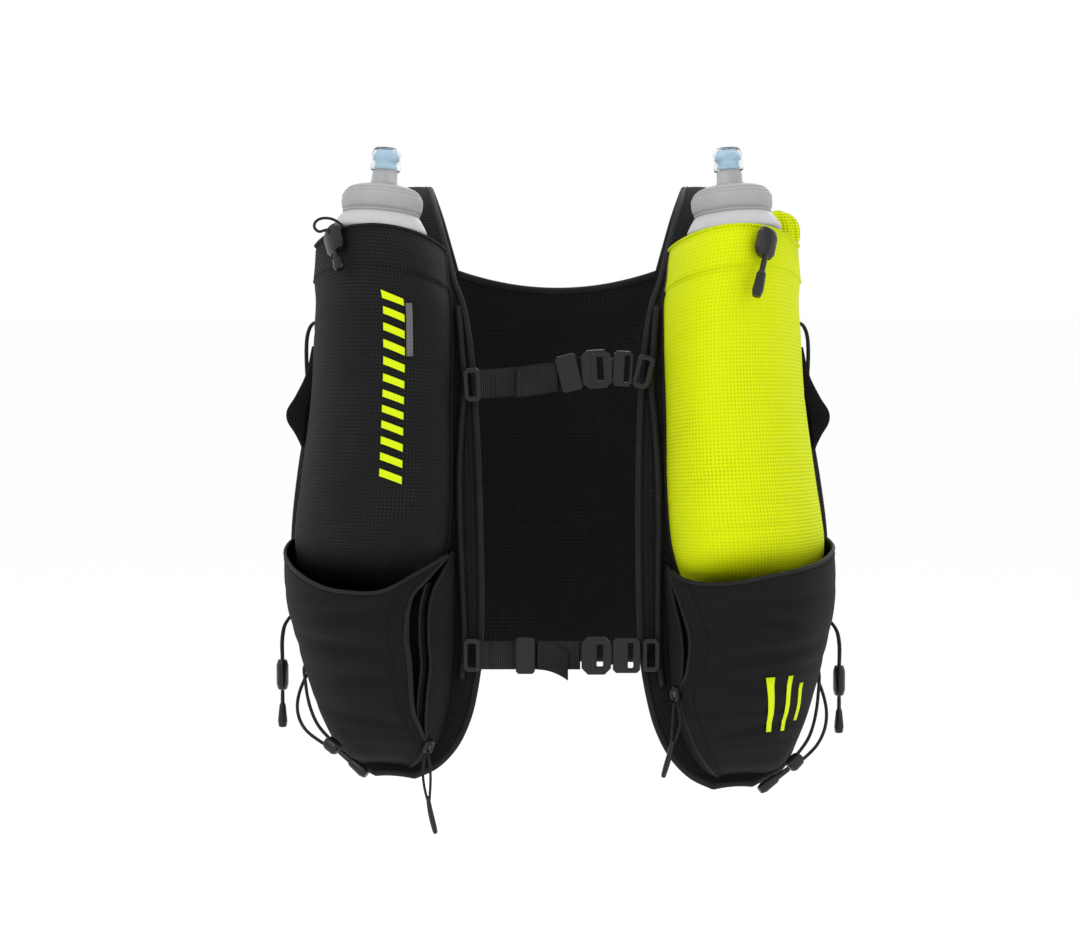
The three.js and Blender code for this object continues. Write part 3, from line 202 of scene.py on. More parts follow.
def make_camera():
    ahead = Vector((0, math.cos(CAMERA_TILT), -math.sin(CAMERA_TILT)))
    data = bpy.data.cameras.new("camera")
    data.sensor_width = 36.0
    data.lens = FOCAL_LENGTH
    data.shift_x = SHIFT_ACROSS / PHOTO_WIDTH
    data.shift_y = SHIFT_UP / PHOTO_WIDTH
    data.clip_end = 50
    camera = bpy.data.objects.new("camera", data)
    bpy.context.scene.collection.objects.link(camera)
    camera.location = Vector((0, -0.060, -0.172)) - ahead * CAMERA_DISTANCE
    camera.rotation_mode = "QUATERNION"
    camera.rotation_quaternion = ahead.to_track_quat("-Z", "Y")
    bpy.context.scene.camera = camera


make_camera()


# Materials

class Look:
    """A procedural material with the few nodes that its texture needs."""

    def __init__(self, name, color, roughness, shine=0.5):
        self.mat = bpy.data.materials.new(name)
        self.mat.use_nodes = True
        self.nodes, self.links = self.mat.node_tree.nodes, self.mat.node_tree.links
        self.shader = self.nodes["Principled BSDF"]
        self.put("Base Color", (*color, 1))
        self.put("Roughness", roughness)
        self.put("Specular IOR Level", shine)

    def put(self, name, value):
        self.shader.inputs[name].default_value = value

    def calc(self, kind, *values):
        node = self.nodes.new("ShaderNodeMath")
        node.operation = kind
        for socket, value in zip(node.inputs, values):
            if isinstance(value, (int, float)):
                socket.default_value = value
            else:
                self.links.new(value, socket)
        return node.outputs[0]

    def waves(self, across, up):
        """Product of two sine waves with these spacings in millimetres, from 0 to 1."""
        coords = self.nodes.new("ShaderNodeTexCoord")
        split = self.nodes.new("ShaderNodeSeparateXYZ")
        self.links.new(coords.outputs["UV"], split.inputs[0])
        parts = []
        for axis, spacing in zip(split.outputs, (across, up)):
            if spacing:
                wave = self.calc("SINE", self.calc("MULTIPLY", axis, 2 * math.pi / spacing))
                parts.append(self.calc("MULTIPLY_ADD", wave, 0.5, 0.5))
        return parts[0] if len(parts) == 1 else self.calc("MULTIPLY", *parts)

    def spots(self, kind, scale):
        coords = self.nodes.new("ShaderNodeTexCoord")
        node = self.nodes.new(kind)
        node.inputs["Scale"].default_value = scale
        self.links.new(coords.outputs["Object"], node.inputs["Vector"])
        return node

    def noise(self, scale, detail=3.0):
        node = self.spots("ShaderNodeTexNoise", scale)
        node.inputs["Detail"].default_value = detail
        return node.outputs["Fac"]

    def ramp(self, value, low, high, from_color, to_color):
        node = self.nodes.new("ShaderNodeValToRGB")
        for element, place, color in zip(node.color_ramp.elements, (low, high), (from_color, to_color)):
            element.position = place
            element.color = (*color, 1)
        self.links.new(value, node.inputs[0])
        return node.outputs[0]

    def paint(self, *ramp):
        self.links.new(self.ramp(*ramp), self.shader.inputs["Base Color"])

    def bump(self, height, distance, strength=1.0, under=None):
        node = self.nodes.new("ShaderNodeBump")
        node.inputs["Distance"].default_value = distance
        node.inputs["Strength"].default_value = strength
        self.links.new(height, node.inputs["Height"])
        if under is not None:
            self.links.new(under, node.inputs["Normal"])
        self.links.new(node.outputs[0], self.shader.inputs["Normal"])
        return node.outputs[0]


def cloth_material(name, color, lighter, across, up, depth, roughness=0.85):
    look = Look(name, color, roughness, 0.16)
    weave, blotch = look.waves(across, up), look.noise(30.0)
    look.paint(look.calc("MULTIPLY", weave, blotch), 0.15, 0.75, color, lighter)
    look.bump(weave, depth, 1.0, look.bump(blotch, 0.0004, 0.6))
    return look.mat


def yellow_material():
    color, dark = (0.60, 0.70, 0.0), (0.12, 0.145, 0.0)
    look = Look("perforated_yellow", color, 0.75, 0.12)
    holes = look.calc("GREATER_THAN", look.waves(2.4, 2.4), 0.52)
    uneven = look.ramp(look.noise(9.0, 2.0), 0.40, 0.72, (0.22,) * 3, (0.85,) * 3)
    look.paint(look.calc("MULTIPLY", holes, uneven), 0.0, 1.0, color, dark)
    knit = look.bump(look.waves(0.8, 0.8), 0.0002, 0.7)
    look.bump(look.calc("SUBTRACT", 1.0, holes), 0.0004, 0.7, knit)
    return look.mat


def plastic_material(name, color, roughness, grain=900.0, shine=0.3, spread=1.35):
    look = Look(name, color, roughness, shine)
    fine = look.noise(grain)
    look.paint(fine, 0.2, 0.8, color, [spread * c for c in color])
    look.bump(fine, 0.00006, 0.6)
    return look.mat


def cord_material():
    look = Look("braided_cord", (0.012, 0.012, 0.013), 0.7, 0.2)
    braid = look.spots("ShaderNodeTexWave", 260.0)
    braid.bands_direction = "DIAGONAL"
    look.paint(braid.outputs["Fac"], 0.2, 0.8, (0.004,) * 3, (0.022,) * 3)
    look.bump(braid.outputs["Fac"], 0.0003, 0.8)
    return look.mat


def film_material(name, color, transmission, roughness, ior=1.4):
    look = Look(name, color, roughness)
    look.put("Transmission Weight", transmission)
    look.put("IOR", ior)
    soft = look.noise(120.0)
    look.paint(soft, 0.3, 0.7, [0.94 * c for c in color], color)
    look.bump(soft, 0.0002, 0.4)
    return look.mat


# Name, colour, lighter colour, spacings of the weave, its depth in metres and its roughness
CLOTHS = {
    "ripstop": ("ripstop_black", (0.005, 0.005, 0.0054), (0.024, 0.024, 0.026), 2.3, 2.3, 0.0002),
    "knit": ("knit_black", (0.004, 0.004, 0.0044), (0.015, 0.015, 0.016), 1.2, 1.0, 0.00015),
    "pad": ("spacer_black", (0.004, 0.004, 0.0044), (0.016, 0.016, 0.017), 2.6, 2.6, 0.0004),
    "mesh": ("stretch_mesh_black", (0.003, 0.003, 0.0034), (0.022, 0.022, 0.024), 1.6, 1.6, 0.0003),
    "binding": ("binding_black", (0.006, 0.006, 0.0064), (0.022, 0.022, 0.024), None, 0.9, 0.0002, 0.6),
    "webbing": ("webbing_black", (0.005, 0.005, 0.006), (0.030, 0.030, 0.032), None, 1.25, 0.0003, 0.6),
    "tape": ("zip_tape_black", (0.006, 0.006, 0.006), (0.02, 0.02, 0.02), 0.9, 0.9, 0.0002),
    "neon": ("print_neon", (0.55, 0.68, 0.0), (0.72, 0.85, 0.02), 2.3, 2.3, 0.0001, 0.6),
    "grey": ("print_grey", (0.10, 0.10, 0.105), (0.16, 0.16, 0.165), 2.3, 2.3, 0.0001, 0.7),
}
LOOKS = {key: cloth_material(*values) for key, values in CLOTHS.items()}
LOOKS.update({
    "yellow": yellow_material(),
    "plastic": plastic_material("moulded_black", (0.006, 0.006, 0.0065), 0.28),
    "tooth": plastic_material("tooth_black", (0.014, 0.014, 0.015), 0.4),
    "cap": plastic_material("cap_grey", (0.30, 0.30, 0.305), 0.5, 400.0, 0.4, 1.06),
    "cord": cord_material(),
    "film": film_material("flask_film", (0.52, 0.52, 0.53), 0.12, 0.45),
    "stem": film_material("stem_grey", (0.55, 0.56, 0.57), 0.45, 0.35),
    "silicone": film_material("silicone_blue", (0.52, 0.76, 0.92), 0.25, 0.3),
    "shield": film_material("shield_clear", (0.96, 0.975, 0.985), 0.97, 0.06, 1.12),
})


# Form of the part, as functions

HARNESS = [dict(row, row=i) for i, row in enumerate(HARNESS_ROWS)]
LAST = len(HARNESS) - 1
LAST_FRONT, FRONT_STEPS, PLACE_DIGITS, HALVINGS = 14, 700, 4, 24
STRAP_SHARE, NAPE_BULGE, EDGE_COVERED = 0.46, 0.045, 0.98
BOTTLE_SQUARENESS, LOWER_SQUARENESS, REAR_SQUARENESS, MESH_SQUARENESS = 2.5, 2.6, 3.2, 2.2
FOLDED_DEPTH = 12
LOWER_SEAM = LOWER_ROWS[-1]["drop"]


def bracket(rows, at, x):
    """The row before x, the span to the next one and the share of it up to x."""
    i = 0
    while i < len(rows) - 2 and rows[i + 1][at] < x:
        i += 1
    span = rows[i + 1][at] - rows[i][at]
    return i, span, min(max((x - rows[i][at]) / span, 0), 1)


def along(rows, at, x, key):
    """Value at x of a smooth curve through the rows."""
    last = len(rows) - 1

    def slope(j):
        a, b = rows[max(j - 1, 0)], rows[min(j + 1, last)]
        return (b[key] - a[key]) / (b[at] - a[at])

    i, span, t = bracket(rows, at, x)
    t2, t3 = t * t, t * t * t
    return ((2 * t3 - 3 * t2 + 1) * rows[i][key] + (t3 - 2 * t2 + t) * span * slope(i)
            + (3 * t2 - 2 * t3) * rows[i + 1][key] + (t3 - t2) * span * slope(i + 1))


def read(rows, at, x, keys):
    """Smooth values at x for each of the keys."""
    return [along(rows, at, x, key) for key in keys.split()]


def straight(rows, at, x, key):
    """Value at x of a line drawn straight from row to row."""
    i, _, t = bracket(rows, at, x)
    return rows[i][key] + (rows[i + 1][key] - rows[i][key]) * t


def depth_at(share):
    return -share * CHEST_DEPTH if share > 0 else -share * BACK_DEPTH


@cache
def edges(place):
    """Inner and outer edge of the harness on side +1, unworn, and its bow."""
    drop, edge, width, inner_depth, outer_depth, tuck, bow = read(
        HARNESS, "row", place, "drop edge width inner_depth outer_depth tuck bow")
    z, x = -drop * FRONT_DROP, edge * NECK_HALF_WIDTH
    inner = Vector((x, depth_at(inner_depth), z))
    outer = Vector((x + width * PANEL_WIDTH, depth_at(outer_depth), z - tuck * SHOULDER_SLOPE))
    return inner, outer, bow * CHEST_DEPTH


@cache
def row_frame(place):
    """Inner edge, chord, normal and bow of the harness at a place."""
    inner, outer, bow = edges(place)
    chord = outer - inner
    ahead = sum(edges(min(place + 0.05, LAST))[:2], Vector())
    behind = sum(edges(max(place - 0.05, 0))[:2], Vector())
    return inner, chord, chord.cross(ahead - behind).normalized(), bow


def harness_face(side, place, across):
    inner, chord, normal, bow = row_frame(round(place, PLACE_DIGITS))
    point = inner + chord * across + normal * (bow * 4 * across * (1 - across))
    if side < 0:
        return Vector((-point.x, point.y, point.z))
    share = min(max(-point.z / FRONT_DROP, 0), 1) ** 2
    return Vector((point.x + WORN_SPREAD * share, point.y, point.z - WORN_DROP * share))


def harness_point(side, place, across, height):
    """Point at a height above the harness, by place along it and share across it."""
    a = harness_face(side, min(place + 0.02, LAST), across)
    b = harness_face(side, max(place - 0.02, 0), across)
    c = harness_face(side, place, across + 0.01)
    d = harness_face(side, place, across - 0.01)
    normal = ((c - d).cross(a - b) * side).normalized()
    return harness_face(side, place, across) + normal * height


FRONT_PLACES = [i * LAST_FRONT / FRONT_STEPS for i in range(FRONT_STEPS + 1)]
FRONT_LEVELS = [-along(HARNESS, "row", place, "drop") * FRONT_DROP for place in FRONT_PLACES]


def front_place(z):
    """Place along the harness where its front reaches a level."""
    high = min(max(bisect_left(FRONT_LEVELS, z), 1), FRONT_STEPS)
    (z0, z1), (p0, p1) = FRONT_LEVELS[high - 1:high + 1], FRONT_PLACES[high - 1:high + 1]
    return p0 + (p1 - p0) * min(max((z - z0) / (z1 - z0), 0), 1)


def across_at(place, distance):
    """Share across the harness at a distance from the middle of the body."""
    inner, chord, normal, bow = row_frame(round(place, PLACE_DIGITS))
    low, high = -0.05, 1.05
    for _ in range(HALVINGS):
        middle = (low + high) / 2
        x = inner.x + chord.x * middle + normal.x * bow * 4 * middle * (1 - middle)
        if x < distance:
            low = middle
        else:
            high = middle
    return (low + high) / 2


def panel_edge(place):
    return along(HARNESS, "row", place, "edge") * NECK_HALF_WIDTH


def pocket_arc(v, squareness):
    """Place across, from -1 to 1, and fullness, from 0 to 1, at a share of a pocket's outline."""
    cosine = math.cos(math.pi * v)
    across = -math.copysign(abs(cosine) ** (2 / squareness), cosine)
    return across, max(math.sin(math.pi * v), 0) ** (2 / squareness)


def outward(side, splay):
    return Vector((side * splay, -math.sqrt(1 - splay * splay), 0))


def back_point(z, across, height):
    """Point at a height above the back panel, by level and share across it."""
    def face(level, share):
        half, middle, edge = read(BACK_ROWS, "drop", -level / BACK_DROP, "half_width middle_depth edge_depth")
        depth = (middle - (middle - edge) * share * share) * BACK_DEPTH
        return Vector((share * half * BACK_HALF_WIDTH, depth, level))

    wide = face(z, across + 0.01) - face(z, across - 0.01)
    tall = face(z - 2, across) - face(z + 2, across)
    return face(z, across) + wide.cross(tall).normalized() * height


def nape_row(across, height):
    """Upper end of the back panel, seated on both shoulder runs and arched between them."""
    side = -1 if across < 0 else 1
    inner = 1 - STRAP_SHARE
    if abs(across) >= inner - 1e-6:
        v = (abs(across) - inner) / STRAP_SHARE
        end = harness_point(side, LAST, v, height)
        before = harness_point(side, LAST - 0.1, v, height)
        return end + (end - before).normalized() * SEAT_GAP
    w = (across / inner + 1) / 2
    middle = nape_row(-inner, height).lerp(nape_row(inner, height), w)
    return middle + Vector((0, BACK_DEPTH * NAPE_BULGE, -NECK_DIP)) * (4 * w * (1 - w))


def bottle_section(z):
    """Place, inner edge, width and depth of a bottle pocket at a level."""
    share = (-z - RIM_DROP) / (SEAM_DROP - RIM_DROP)
    inner, width, depth = read(BOTTLE_ROWS, "drop", share, "inner width depth")
    place = front_place(z)
    start = panel_edge(place) + EDGE_STRIP * EDGE_COVERED + inner * POCKET_WIDTH
    return place, start, width * POCKET_WIDTH, depth * BOTTLE_DEPTH


def bottle_point(side, z, v, inset):
    place, start, width, depth = bottle_section(z)
    across, out = pocket_arc(v, BOTTLE_SQUARENESS)
    distance = start + width / 2 + across * (width / 2 - inset)
    base = harness_point(side, place, across_at(place, distance), SEAT_GAP)
    return base + outward(side, BOTTLE_SPLAY) * (max(depth - inset, 0) * out)


def lower_section(side, z):
    """Place, inner and outer edge, depth, zip and gape of a lower pocket at a level."""
    drop = -z / FRONT_DROP
    inner, outer, depth = read(LOWER_ROWS, "drop", drop, "inner outer depth")
    place = front_place(z)
    start = panel_edge(place)
    end = start + along(HARNESS, "row", place, "width") * PANEL_WIDTH
    return (place, start + inner * EDGE_STRIP, end - outer * EDGE_STRIP, max(depth, 0) * LOWER_DEPTH,
            along(ZIP_LINES[side], "drop", drop, "zip"), straight(ZIP_LINES[side], "drop", drop, "gape"))


def fold_depth(z, v):
    depth = 0
    for fold in LOWER_FOLDS:
        middle = fold["drop"] + fold["tilt"] * (v - fold["across"])
        down = (-z / FRONT_DROP - middle) / fold["height"]
        aside = (v - fold["across"]) / fold["reach"]
        depth += fold["depth"] * LOWER_DEPTH * math.exp(-down * down - aside * aside)
    return depth


def lower_point(side, z, v, inset):
    place, inner, outer, depth, _, _ = lower_section(side, z)
    across, out = pocket_arc(v, LOWER_SQUARENESS)
    distance = (inner + outer) / 2 + across * ((outer - inner) / 2 - inset)
    base = harness_point(side, place, across_at(place, distance), SEAT_GAP)
    rise = max(depth - inset - (fold_depth(z, v) if depth > FOLDED_DEPTH else 0), 0)
    return base + outward(side, LOWER_SPLAY) * (rise * out)


def lower_level(side, u, v, inset):
    """Level at a share of the way from a lower pocket's seam to its rim."""
    rim = -along(LOWER_RIMS[side], "across", v, "drop") * FRONT_DROP
    seam_level = -LOWER_SEAM * FRONT_DROP + inset
    return seam_level + (rim - seam_level) * u


def rail_point(side, z, height=RAIL_DIAMETER / 2 + SEAT_GAP, off=0):
    place = front_place(z)
    inset = along(RAIL_ROWS, "drop", -z / FRONT_DROP, "inset") * EDGE_STRIP
    return harness_point(side, place, across_at(place, panel_edge(place) + inset + off), height)


# Making of meshes

SUFFIX = {-1: "l", 1: "r"}


def finish_piece(obj, nodes, slot):
    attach(obj, "root")
    if nodes:
        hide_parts(*nodes)
    return obj


def mesh_object(name, points, faces, look, uvs=None):
    mesh = bpy.data.meshes.new(name)
    mesh.from_pydata([tuple(p * MM) for p in points], [], faces)
    mesh.materials.append(LOOKS[look])
    if uvs:
        layer = mesh.uv_layers.new(name="UVMap")
        for loop in mesh.loops:
            layer.data[loop.index].uv = uvs[loop.vertex_index]
    for polygon in mesh.polygons:
        polygon.use_smooth = True
    mesh.update()
    work = bmesh.new()
    work.from_mesh(mesh)
    bmesh.ops.recalc_face_normals(work, faces=work.faces)
    work.to_mesh(mesh)
    work.free()
    obj = bpy.data.objects.new(name, mesh)
    bpy.context.scene.collection.objects.link(obj)
    return obj


def line_of(point, steps):
    return [point(i / steps) for i in range(steps + 1)]


def lengths_along(line):
    """Length of a line up to each of its points."""
    lengths = [0.0]
    for a, b in zip(line, line[1:]):
        lengths.append(lengths[-1] + (b - a).length)
    return lengths


def ring_faces(rows, sides, start=0):
    """Faces of a closed tube of rings, with its two ends."""
    faces = []
    for i in range(rows):
        for k in range(sides):
            a, b = start + i * sides + k, start + i * sides + (k + 1) % sides
            faces.append((a, b, b + sides, a + sides))
    return faces + [tuple(start + i * sides + k for k in range(sides)) for i in (0, rows)]


def rings(name, rows, sides, spot, look, slot, nodes=()):
    """Closed body of rings. spot(share, angle) gives a point and its UV."""
    spots = [spot(i / rows, 2 * math.pi * k / sides) for i in range(rows + 1) for k in range(sides)]
    points, uvs = zip(*spots)
    return finish_piece(mesh_object(name, points, ring_faces(rows, sides), look, uvs), nodes, slot)


def shell(name, size, surface, insets, look, nodes, slot):
    """Closed cloth wall between surface(u, v, inset) at two insets, with UVs in millimetres."""
    rows, columns = size
    points, uvs = [], []
    for inset in insets:
        grid = [line_of(lambda v: surface(i / rows, v, inset), columns) for i in range(rows + 1)]
        across = lengths_along(grid[rows // 2])
        up = lengths_along([row[columns // 2] for row in grid])
        points += [point for row in grid for point in row]
        uvs += [(a, b) for b in up for a in across]
    stride, layer = columns + 1, (rows + 1) * (columns + 1)
    faces = []
    for i in range(rows):
        for j in range(columns):
            p = i * stride + j
            q = p + layer
            faces.append((p, p + 1, p + stride + 1, p + stride))
            faces.append((q, q + stride, q + stride + 1, q + 1))
    rim = [(j, j + 1) for j in range(columns)]
    rim += [(rows * stride + j + 1, rows * stride + j) for j in range(columns)]
    rim += [((i + 1) * stride, i * stride) for i in range(rows)]
    rim += [(i * stride + columns, (i + 1) * stride + columns) for i in range(rows)]
    faces += [(q, p, p + layer, q + layer) for p, q in rim]
    return finish_piece(mesh_object(name, points, faces, look, uvs), nodes, slot)


def smooth_line(points, steps):
    """Points of a Catmull-Rom line through the given ones, evenly close together."""
    result = []
    last = len(points) - 1
    for i in range(last):
        p0, p1, p2, p3 = points[max(i - 1, 0)], points[i], points[i + 1], points[min(i + 2, last)]
        for k in range(steps):
            t = k / steps
            result.append(0.5 * ((2 * p1) + (p2 - p0) * t + (2 * p0 - 5 * p1 + 4 * p2 - p3) * t * t
                                 + (3 * p1 - p0 - 3 * p2 + p3) * t ** 3))
    return result + [points[-1]]


def tube(name, points, widths, look, slot, nodes=(), sides=12, flat=1.0, up_hint=Vector((0, 0, 1))):
    """Closed tube along points. widths is one diameter or one for each point."""
    if not isinstance(widths, list):
        widths = [widths] * len(points)
    verts, uvs = [], []
    tangent = (points[1] - points[0]).normalized()
    helper = up_hint if abs(tangent.dot(up_hint)) < 0.9 else Vector((1, 0, 0))
    side_way = tangent.cross(helper).normalized()
    last = len(points) - 1
    for i, (point, length, width) in enumerate(zip(points, lengths_along(points), widths)):
        tangent = (points[min(i + 1, last)] - points[max(i - 1, 0)]).normalized()
        side_way = (side_way - tangent * side_way.dot(tangent)).normalized()
        other = tangent.cross(side_way)
        for k in range(sides):
            angle = 2 * math.pi * k / sides
            verts.append(point + side_way * math.cos(angle) * width / 2
                         + other * math.sin(angle) * width / 2 * flat)
            uvs.append((k / sides * math.pi * width, length))
    return finish_piece(mesh_object(name, verts, ring_faces(last, sides), look, uvs), nodes, slot)


def seam(name, steps, point, diameter, look="binding", slot="webbing"):
    """Binding or piping along point(share), from 0 to 1."""
    return tube(name, line_of(point, steps), diameter, look, slot, sides=10)


def turned(name, place, up, profile, look, slot, nodes=(), sides=48):
    """A body turned about the way up, from radius and height pairs."""
    z = up.normalized()
    y = Vector((0, 1, 0))
    y = (y - z * y.dot(z)).normalized()
    x = y.cross(z)
    verts, faces, rings, uvs = [], [], [], []
    for r, h in profile:
        count = sides if r > 1e-6 else 1
        rings.append(list(range(len(verts), len(verts) + count)))
        for k in range(count):
            angle = 2 * math.pi * k / sides
            verts.append(place + x * (r * math.cos(angle)) + y * (r * math.sin(angle)) + z * h)
            uvs.append((angle * r, h))
    for a, b in zip(rings, rings[1:]):
        for k in range(sides):
            n = (k + 1) % sides
            if len(a) == 1 and len(b) > 1:
                faces.append((a[0], b[k], b[n]))
            elif len(b) == 1 and len(a) > 1:
                faces.append((a[k], a[n], b[0]))
            elif len(a) > 1:
                faces.append((a[k], a[n], b[n], b[k]))
    return finish_piece(mesh_object(name, verts, faces, look, uvs), nodes, slot)


def stitches(name, points, slot="webbing", size=0.55, long=1.8, look="binding"):
    """A row of short raised stitches, one to each pair of points."""
    sides = 5
    verts, faces = [], []
    for a, b in zip(points[::2], points[1::2]):
        if (b - a).length < 1e-6:
            continue
        way = (b - a).normalized()
        other = way.cross(Vector((0.3, -0.9, 0.2))).normalized()
        third = way.cross(other)
        faces += ring_faces(3, sides, len(verts))
        for end, scale in ((-0.5, 0.5), (-0.25, 1.0), (0.25, 1.0), (0.5, 0.5)):
            for k in range(sides):
                angle = 2 * math.pi * k / sides
                round_way = other * math.cos(angle) + third * math.sin(angle)
                verts.append((a + b) / 2 + way * (end * long) + round_way * size / 2 * scale)
    return finish_piece(mesh_object(name, verts, faces, look), [], slot)


def bevelled_copy(node, width):
    """The solid's own shape with its hard edges rounded."""
    obj = bpy.data.objects.new(node + "_piece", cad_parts[node].data.copy())
    bpy.context.scene.collection.objects.link(obj)
    obj.data.materials.clear()
    obj.data.materials.append(LOOKS["plastic"])
    weld = obj.modifiers.new("weld", "WELD")
    weld.merge_threshold = 0.00001
    bevel = obj.modifiers.new("bevel", "BEVEL")
    bevel.width = width * MM
    bevel.segments = 3
    bevel.limit_method = "ANGLE"
    bevel.angle_limit = math.radians(25)
    bevel.harden_normals = False
    for polygon in obj.data.polygons:
        polygon.use_smooth = True
    edge = obj.modifiers.new("normals", "WEIGHTED_NORMAL")
    edge.keep_sharp = False
    return finish_piece(obj, [node], "plastic")


def corners(node):
    """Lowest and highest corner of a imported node, in millimetres."""
    spots = [v.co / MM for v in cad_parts[node].data.vertices]
    return [Vector([pick(p[i] for p in spots) for i in range(3)]) for pick in (min, max)]


# Cords come first: each route as in the part

UPPER_LENGTH, LOWER_LENGTH, LOOP_HALF = 42, 26, 2.2


def loop_route(side, level, aside, back, strand):
    """A loop at the harness edge: one strand up to its turn, and the same strand back."""
    origin = harness_point(side, front_place(level), 1, 0) + Vector((side * aside, back, 0))
    returning = [(x, -y, z) for x, y, z in strand[-2::-1]]
    return [origin + Vector((side * x, y, z)) for x, y, z in strand + returning]


def loop_routes(side):
    w, d, l = LOOP_HALF, UPPER_LENGTH, LOWER_LENGTH
    upper = loop_route(side, -80, 1.6, 5.4, [
        (0, -w, 0), (3, -w - 0.4, -1.5), (5.6, -w - 1.0, -8), (6.2, -w - 1.6, -18), (6, -w - 1.6, -28),
        (5.6, -w - 0.6, -d + 5), (5.4, -w + 1.0, -d + 1), (5.3, 0, -d)])
    lower = loop_route(side, -274, 3.4, 0, [
        (6.6, -w, -l), (6.8, -w - 0.6, -l + 6), (6.8, -w - 1.4, -14), (5.8, -w - 1.8, -6),
        (4, -w - 1.5, -2), (2.2, -w - 0.2, 0.4), (1.4, 0, 1.6)])
    return upper, lower


SIDE_CORDS = {
    -1: [
        (-146.0, -97, -343), (-151.5, -94, -338), (-156.0, -87, -331), (-159.5, -76, -324),
        (-162.0, -63, -317), (-163.5, -50, -311), (-165.2, -40, -306.5), (-164.6, -31, -303),
        (-161.0, -23.6, -301.6), (-158.2, -20.0, -301.6), (-156.6, -17.8, -303.4),
        (-157.4, -18.6, -306.0), (-160.0, -22.4, -307.8), (-163.0, -28, -309),
        (-165.0, -37, -313), (-167.2, -49, -319), (-168.0, -61, -325), (-167.0, -73, -331),
        (-163.5, -84, -337), (-158.0, -92.5, -342), (-150.5, -98.5, -346),
    ],
    1: [
        (154.5, -92, -353.5), (159.5, -88.5, -348), (163.5, -81, -341), (166.5, -71, -333),
        (168.6, -60, -325), (170.0, -49, -317.5), (171.2, -39, -311), (171.0, -30, -306),
        (167.8, -23.0, -302.4), (164.8, -19.4, -301.8), (163.0, -17.4, -303.6),
        (163.9, -18.4, -306.6), (166.4, -21.8, -309.0), (169.5, -27, -311.5),
        (172.0, -36, -317), (174.0, -48, -324.5), (174.6, -60, -331.5), (173.2, -71, -339),
        (169.6, -81, -346), (164.5, -89, -352), (158.6, -93.5, -356.5),
    ],
}
# Loop at the left hem lock, from a point 6 mm below the lock's top
HEM_LOOP = [(0, 0, 0), (-4.5, 0.5, 1.5), (-9.5, 2.5, 0.5), (-12.5, 5, 3), (-12, 7.5, 6.5), (-8, 8.5, 8.8),
            (-2, 9.0, 8.4), (3, 9.0, 5.5), (6, 8.0, 1.5)]
HEM_CORD_DIAMETER = 1.8


def reach(points, by):
    """The route with both ends drawn on by a length, into the lock that holds them."""
    first = points[0] + (points[0] - points[1]).normalized() * by
    last = points[-1] + (points[-1] - points[-2]).normalized() * by
    return [first] + points[1:-1] + [last]


def relaxed(line, rounds):
    """The same line with its turns rounded and its ends kept."""
    for _ in range(rounds):
        line = [line[0]] + [(a + b * 2 + c) / 4 for a, b, c in zip(line, line[1:], line[2:])] + [line[-1]]
    return line


def make_cord(name, line, diameter, nodes):
    obj = tube(name, line, diameter, "cord", "cord", nodes)
    lengths_along(line)[-1] * MM


def side_cords(side):
    s = SUFFIX[side]
    upper, lower = loop_routes(side)
    routes = (("upper_loop_cord", "upper_loop", upper), ("lower_loop_cord", "lower_loop", reach(lower, 3.0)),
              ("side_cord_piece", "side_cord", reach([Vector(p) for p in SIDE_CORDS[side]], 3.5)))
    for name, node, route in routes:
        make_cord(f"{name}_{s}", relaxed(smooth_line(route, 6), 14), CORD_DIAMETER, [f"{node}_{s}"])
    for node, width in (("loop_lock", 0.8), ("loop_toggle", 0.4), ("side_lock", 0.7), ("side_toggle", 0.4)):
        bevelled_copy(f"{node}_{s}", width)


def hem_loop():
    low, high = corners("hem_lock_l")
    start = Vector(((low.x + high.x) / 2, (low.y + high.y) / 2, high.z - 6))
    make_cord("hem_drawcord_l", smooth_line([start + Vector(p) for p in HEM_LOOP], 8), HEM_CORD_DIAMETER, [])


side_cords(-1)
side_cords(1)
hem_loop()


# Harness panels and back panel, padded, with bound edges

def rounded(v, edge=0.03):
    """How full the pad is at v across: 0 at its edges and 1 inside."""
    near = min(v, 1 - v) / edge
    return math.sqrt(max(1 - (1 - min(near, 1)) ** 2, 0))


def harness_panel(side):
    s = SUFFIX[side]

    def surface(u, v, way):
        return harness_point(side, u * LAST, v, PAD / 2 * (way * rounded(v) - 1))

    panel = shell(f"harness_pad_{s}", (120, 24), surface, (1, -1), "pad", [f"harness_panel_{s}"], "pad")
    for word, bound, sewn in (("inner", 0.012, 0.05), ("outer", 0.988, 0.955)):
        seam(f"{word}_binding_{s}", 90, lambda t: harness_point(side, t * LAST, bound, -PAD / 2), PAD + 1)
        stitches(f"{word}_stitches_{s}", line_of(lambda t: harness_point(side, t * LAST, sewn, 0.25), 260))
    seam(f"lower_binding_{s}", 30, lambda t: harness_point(side, 0.02, t, -PAD / 2), PAD + 1)


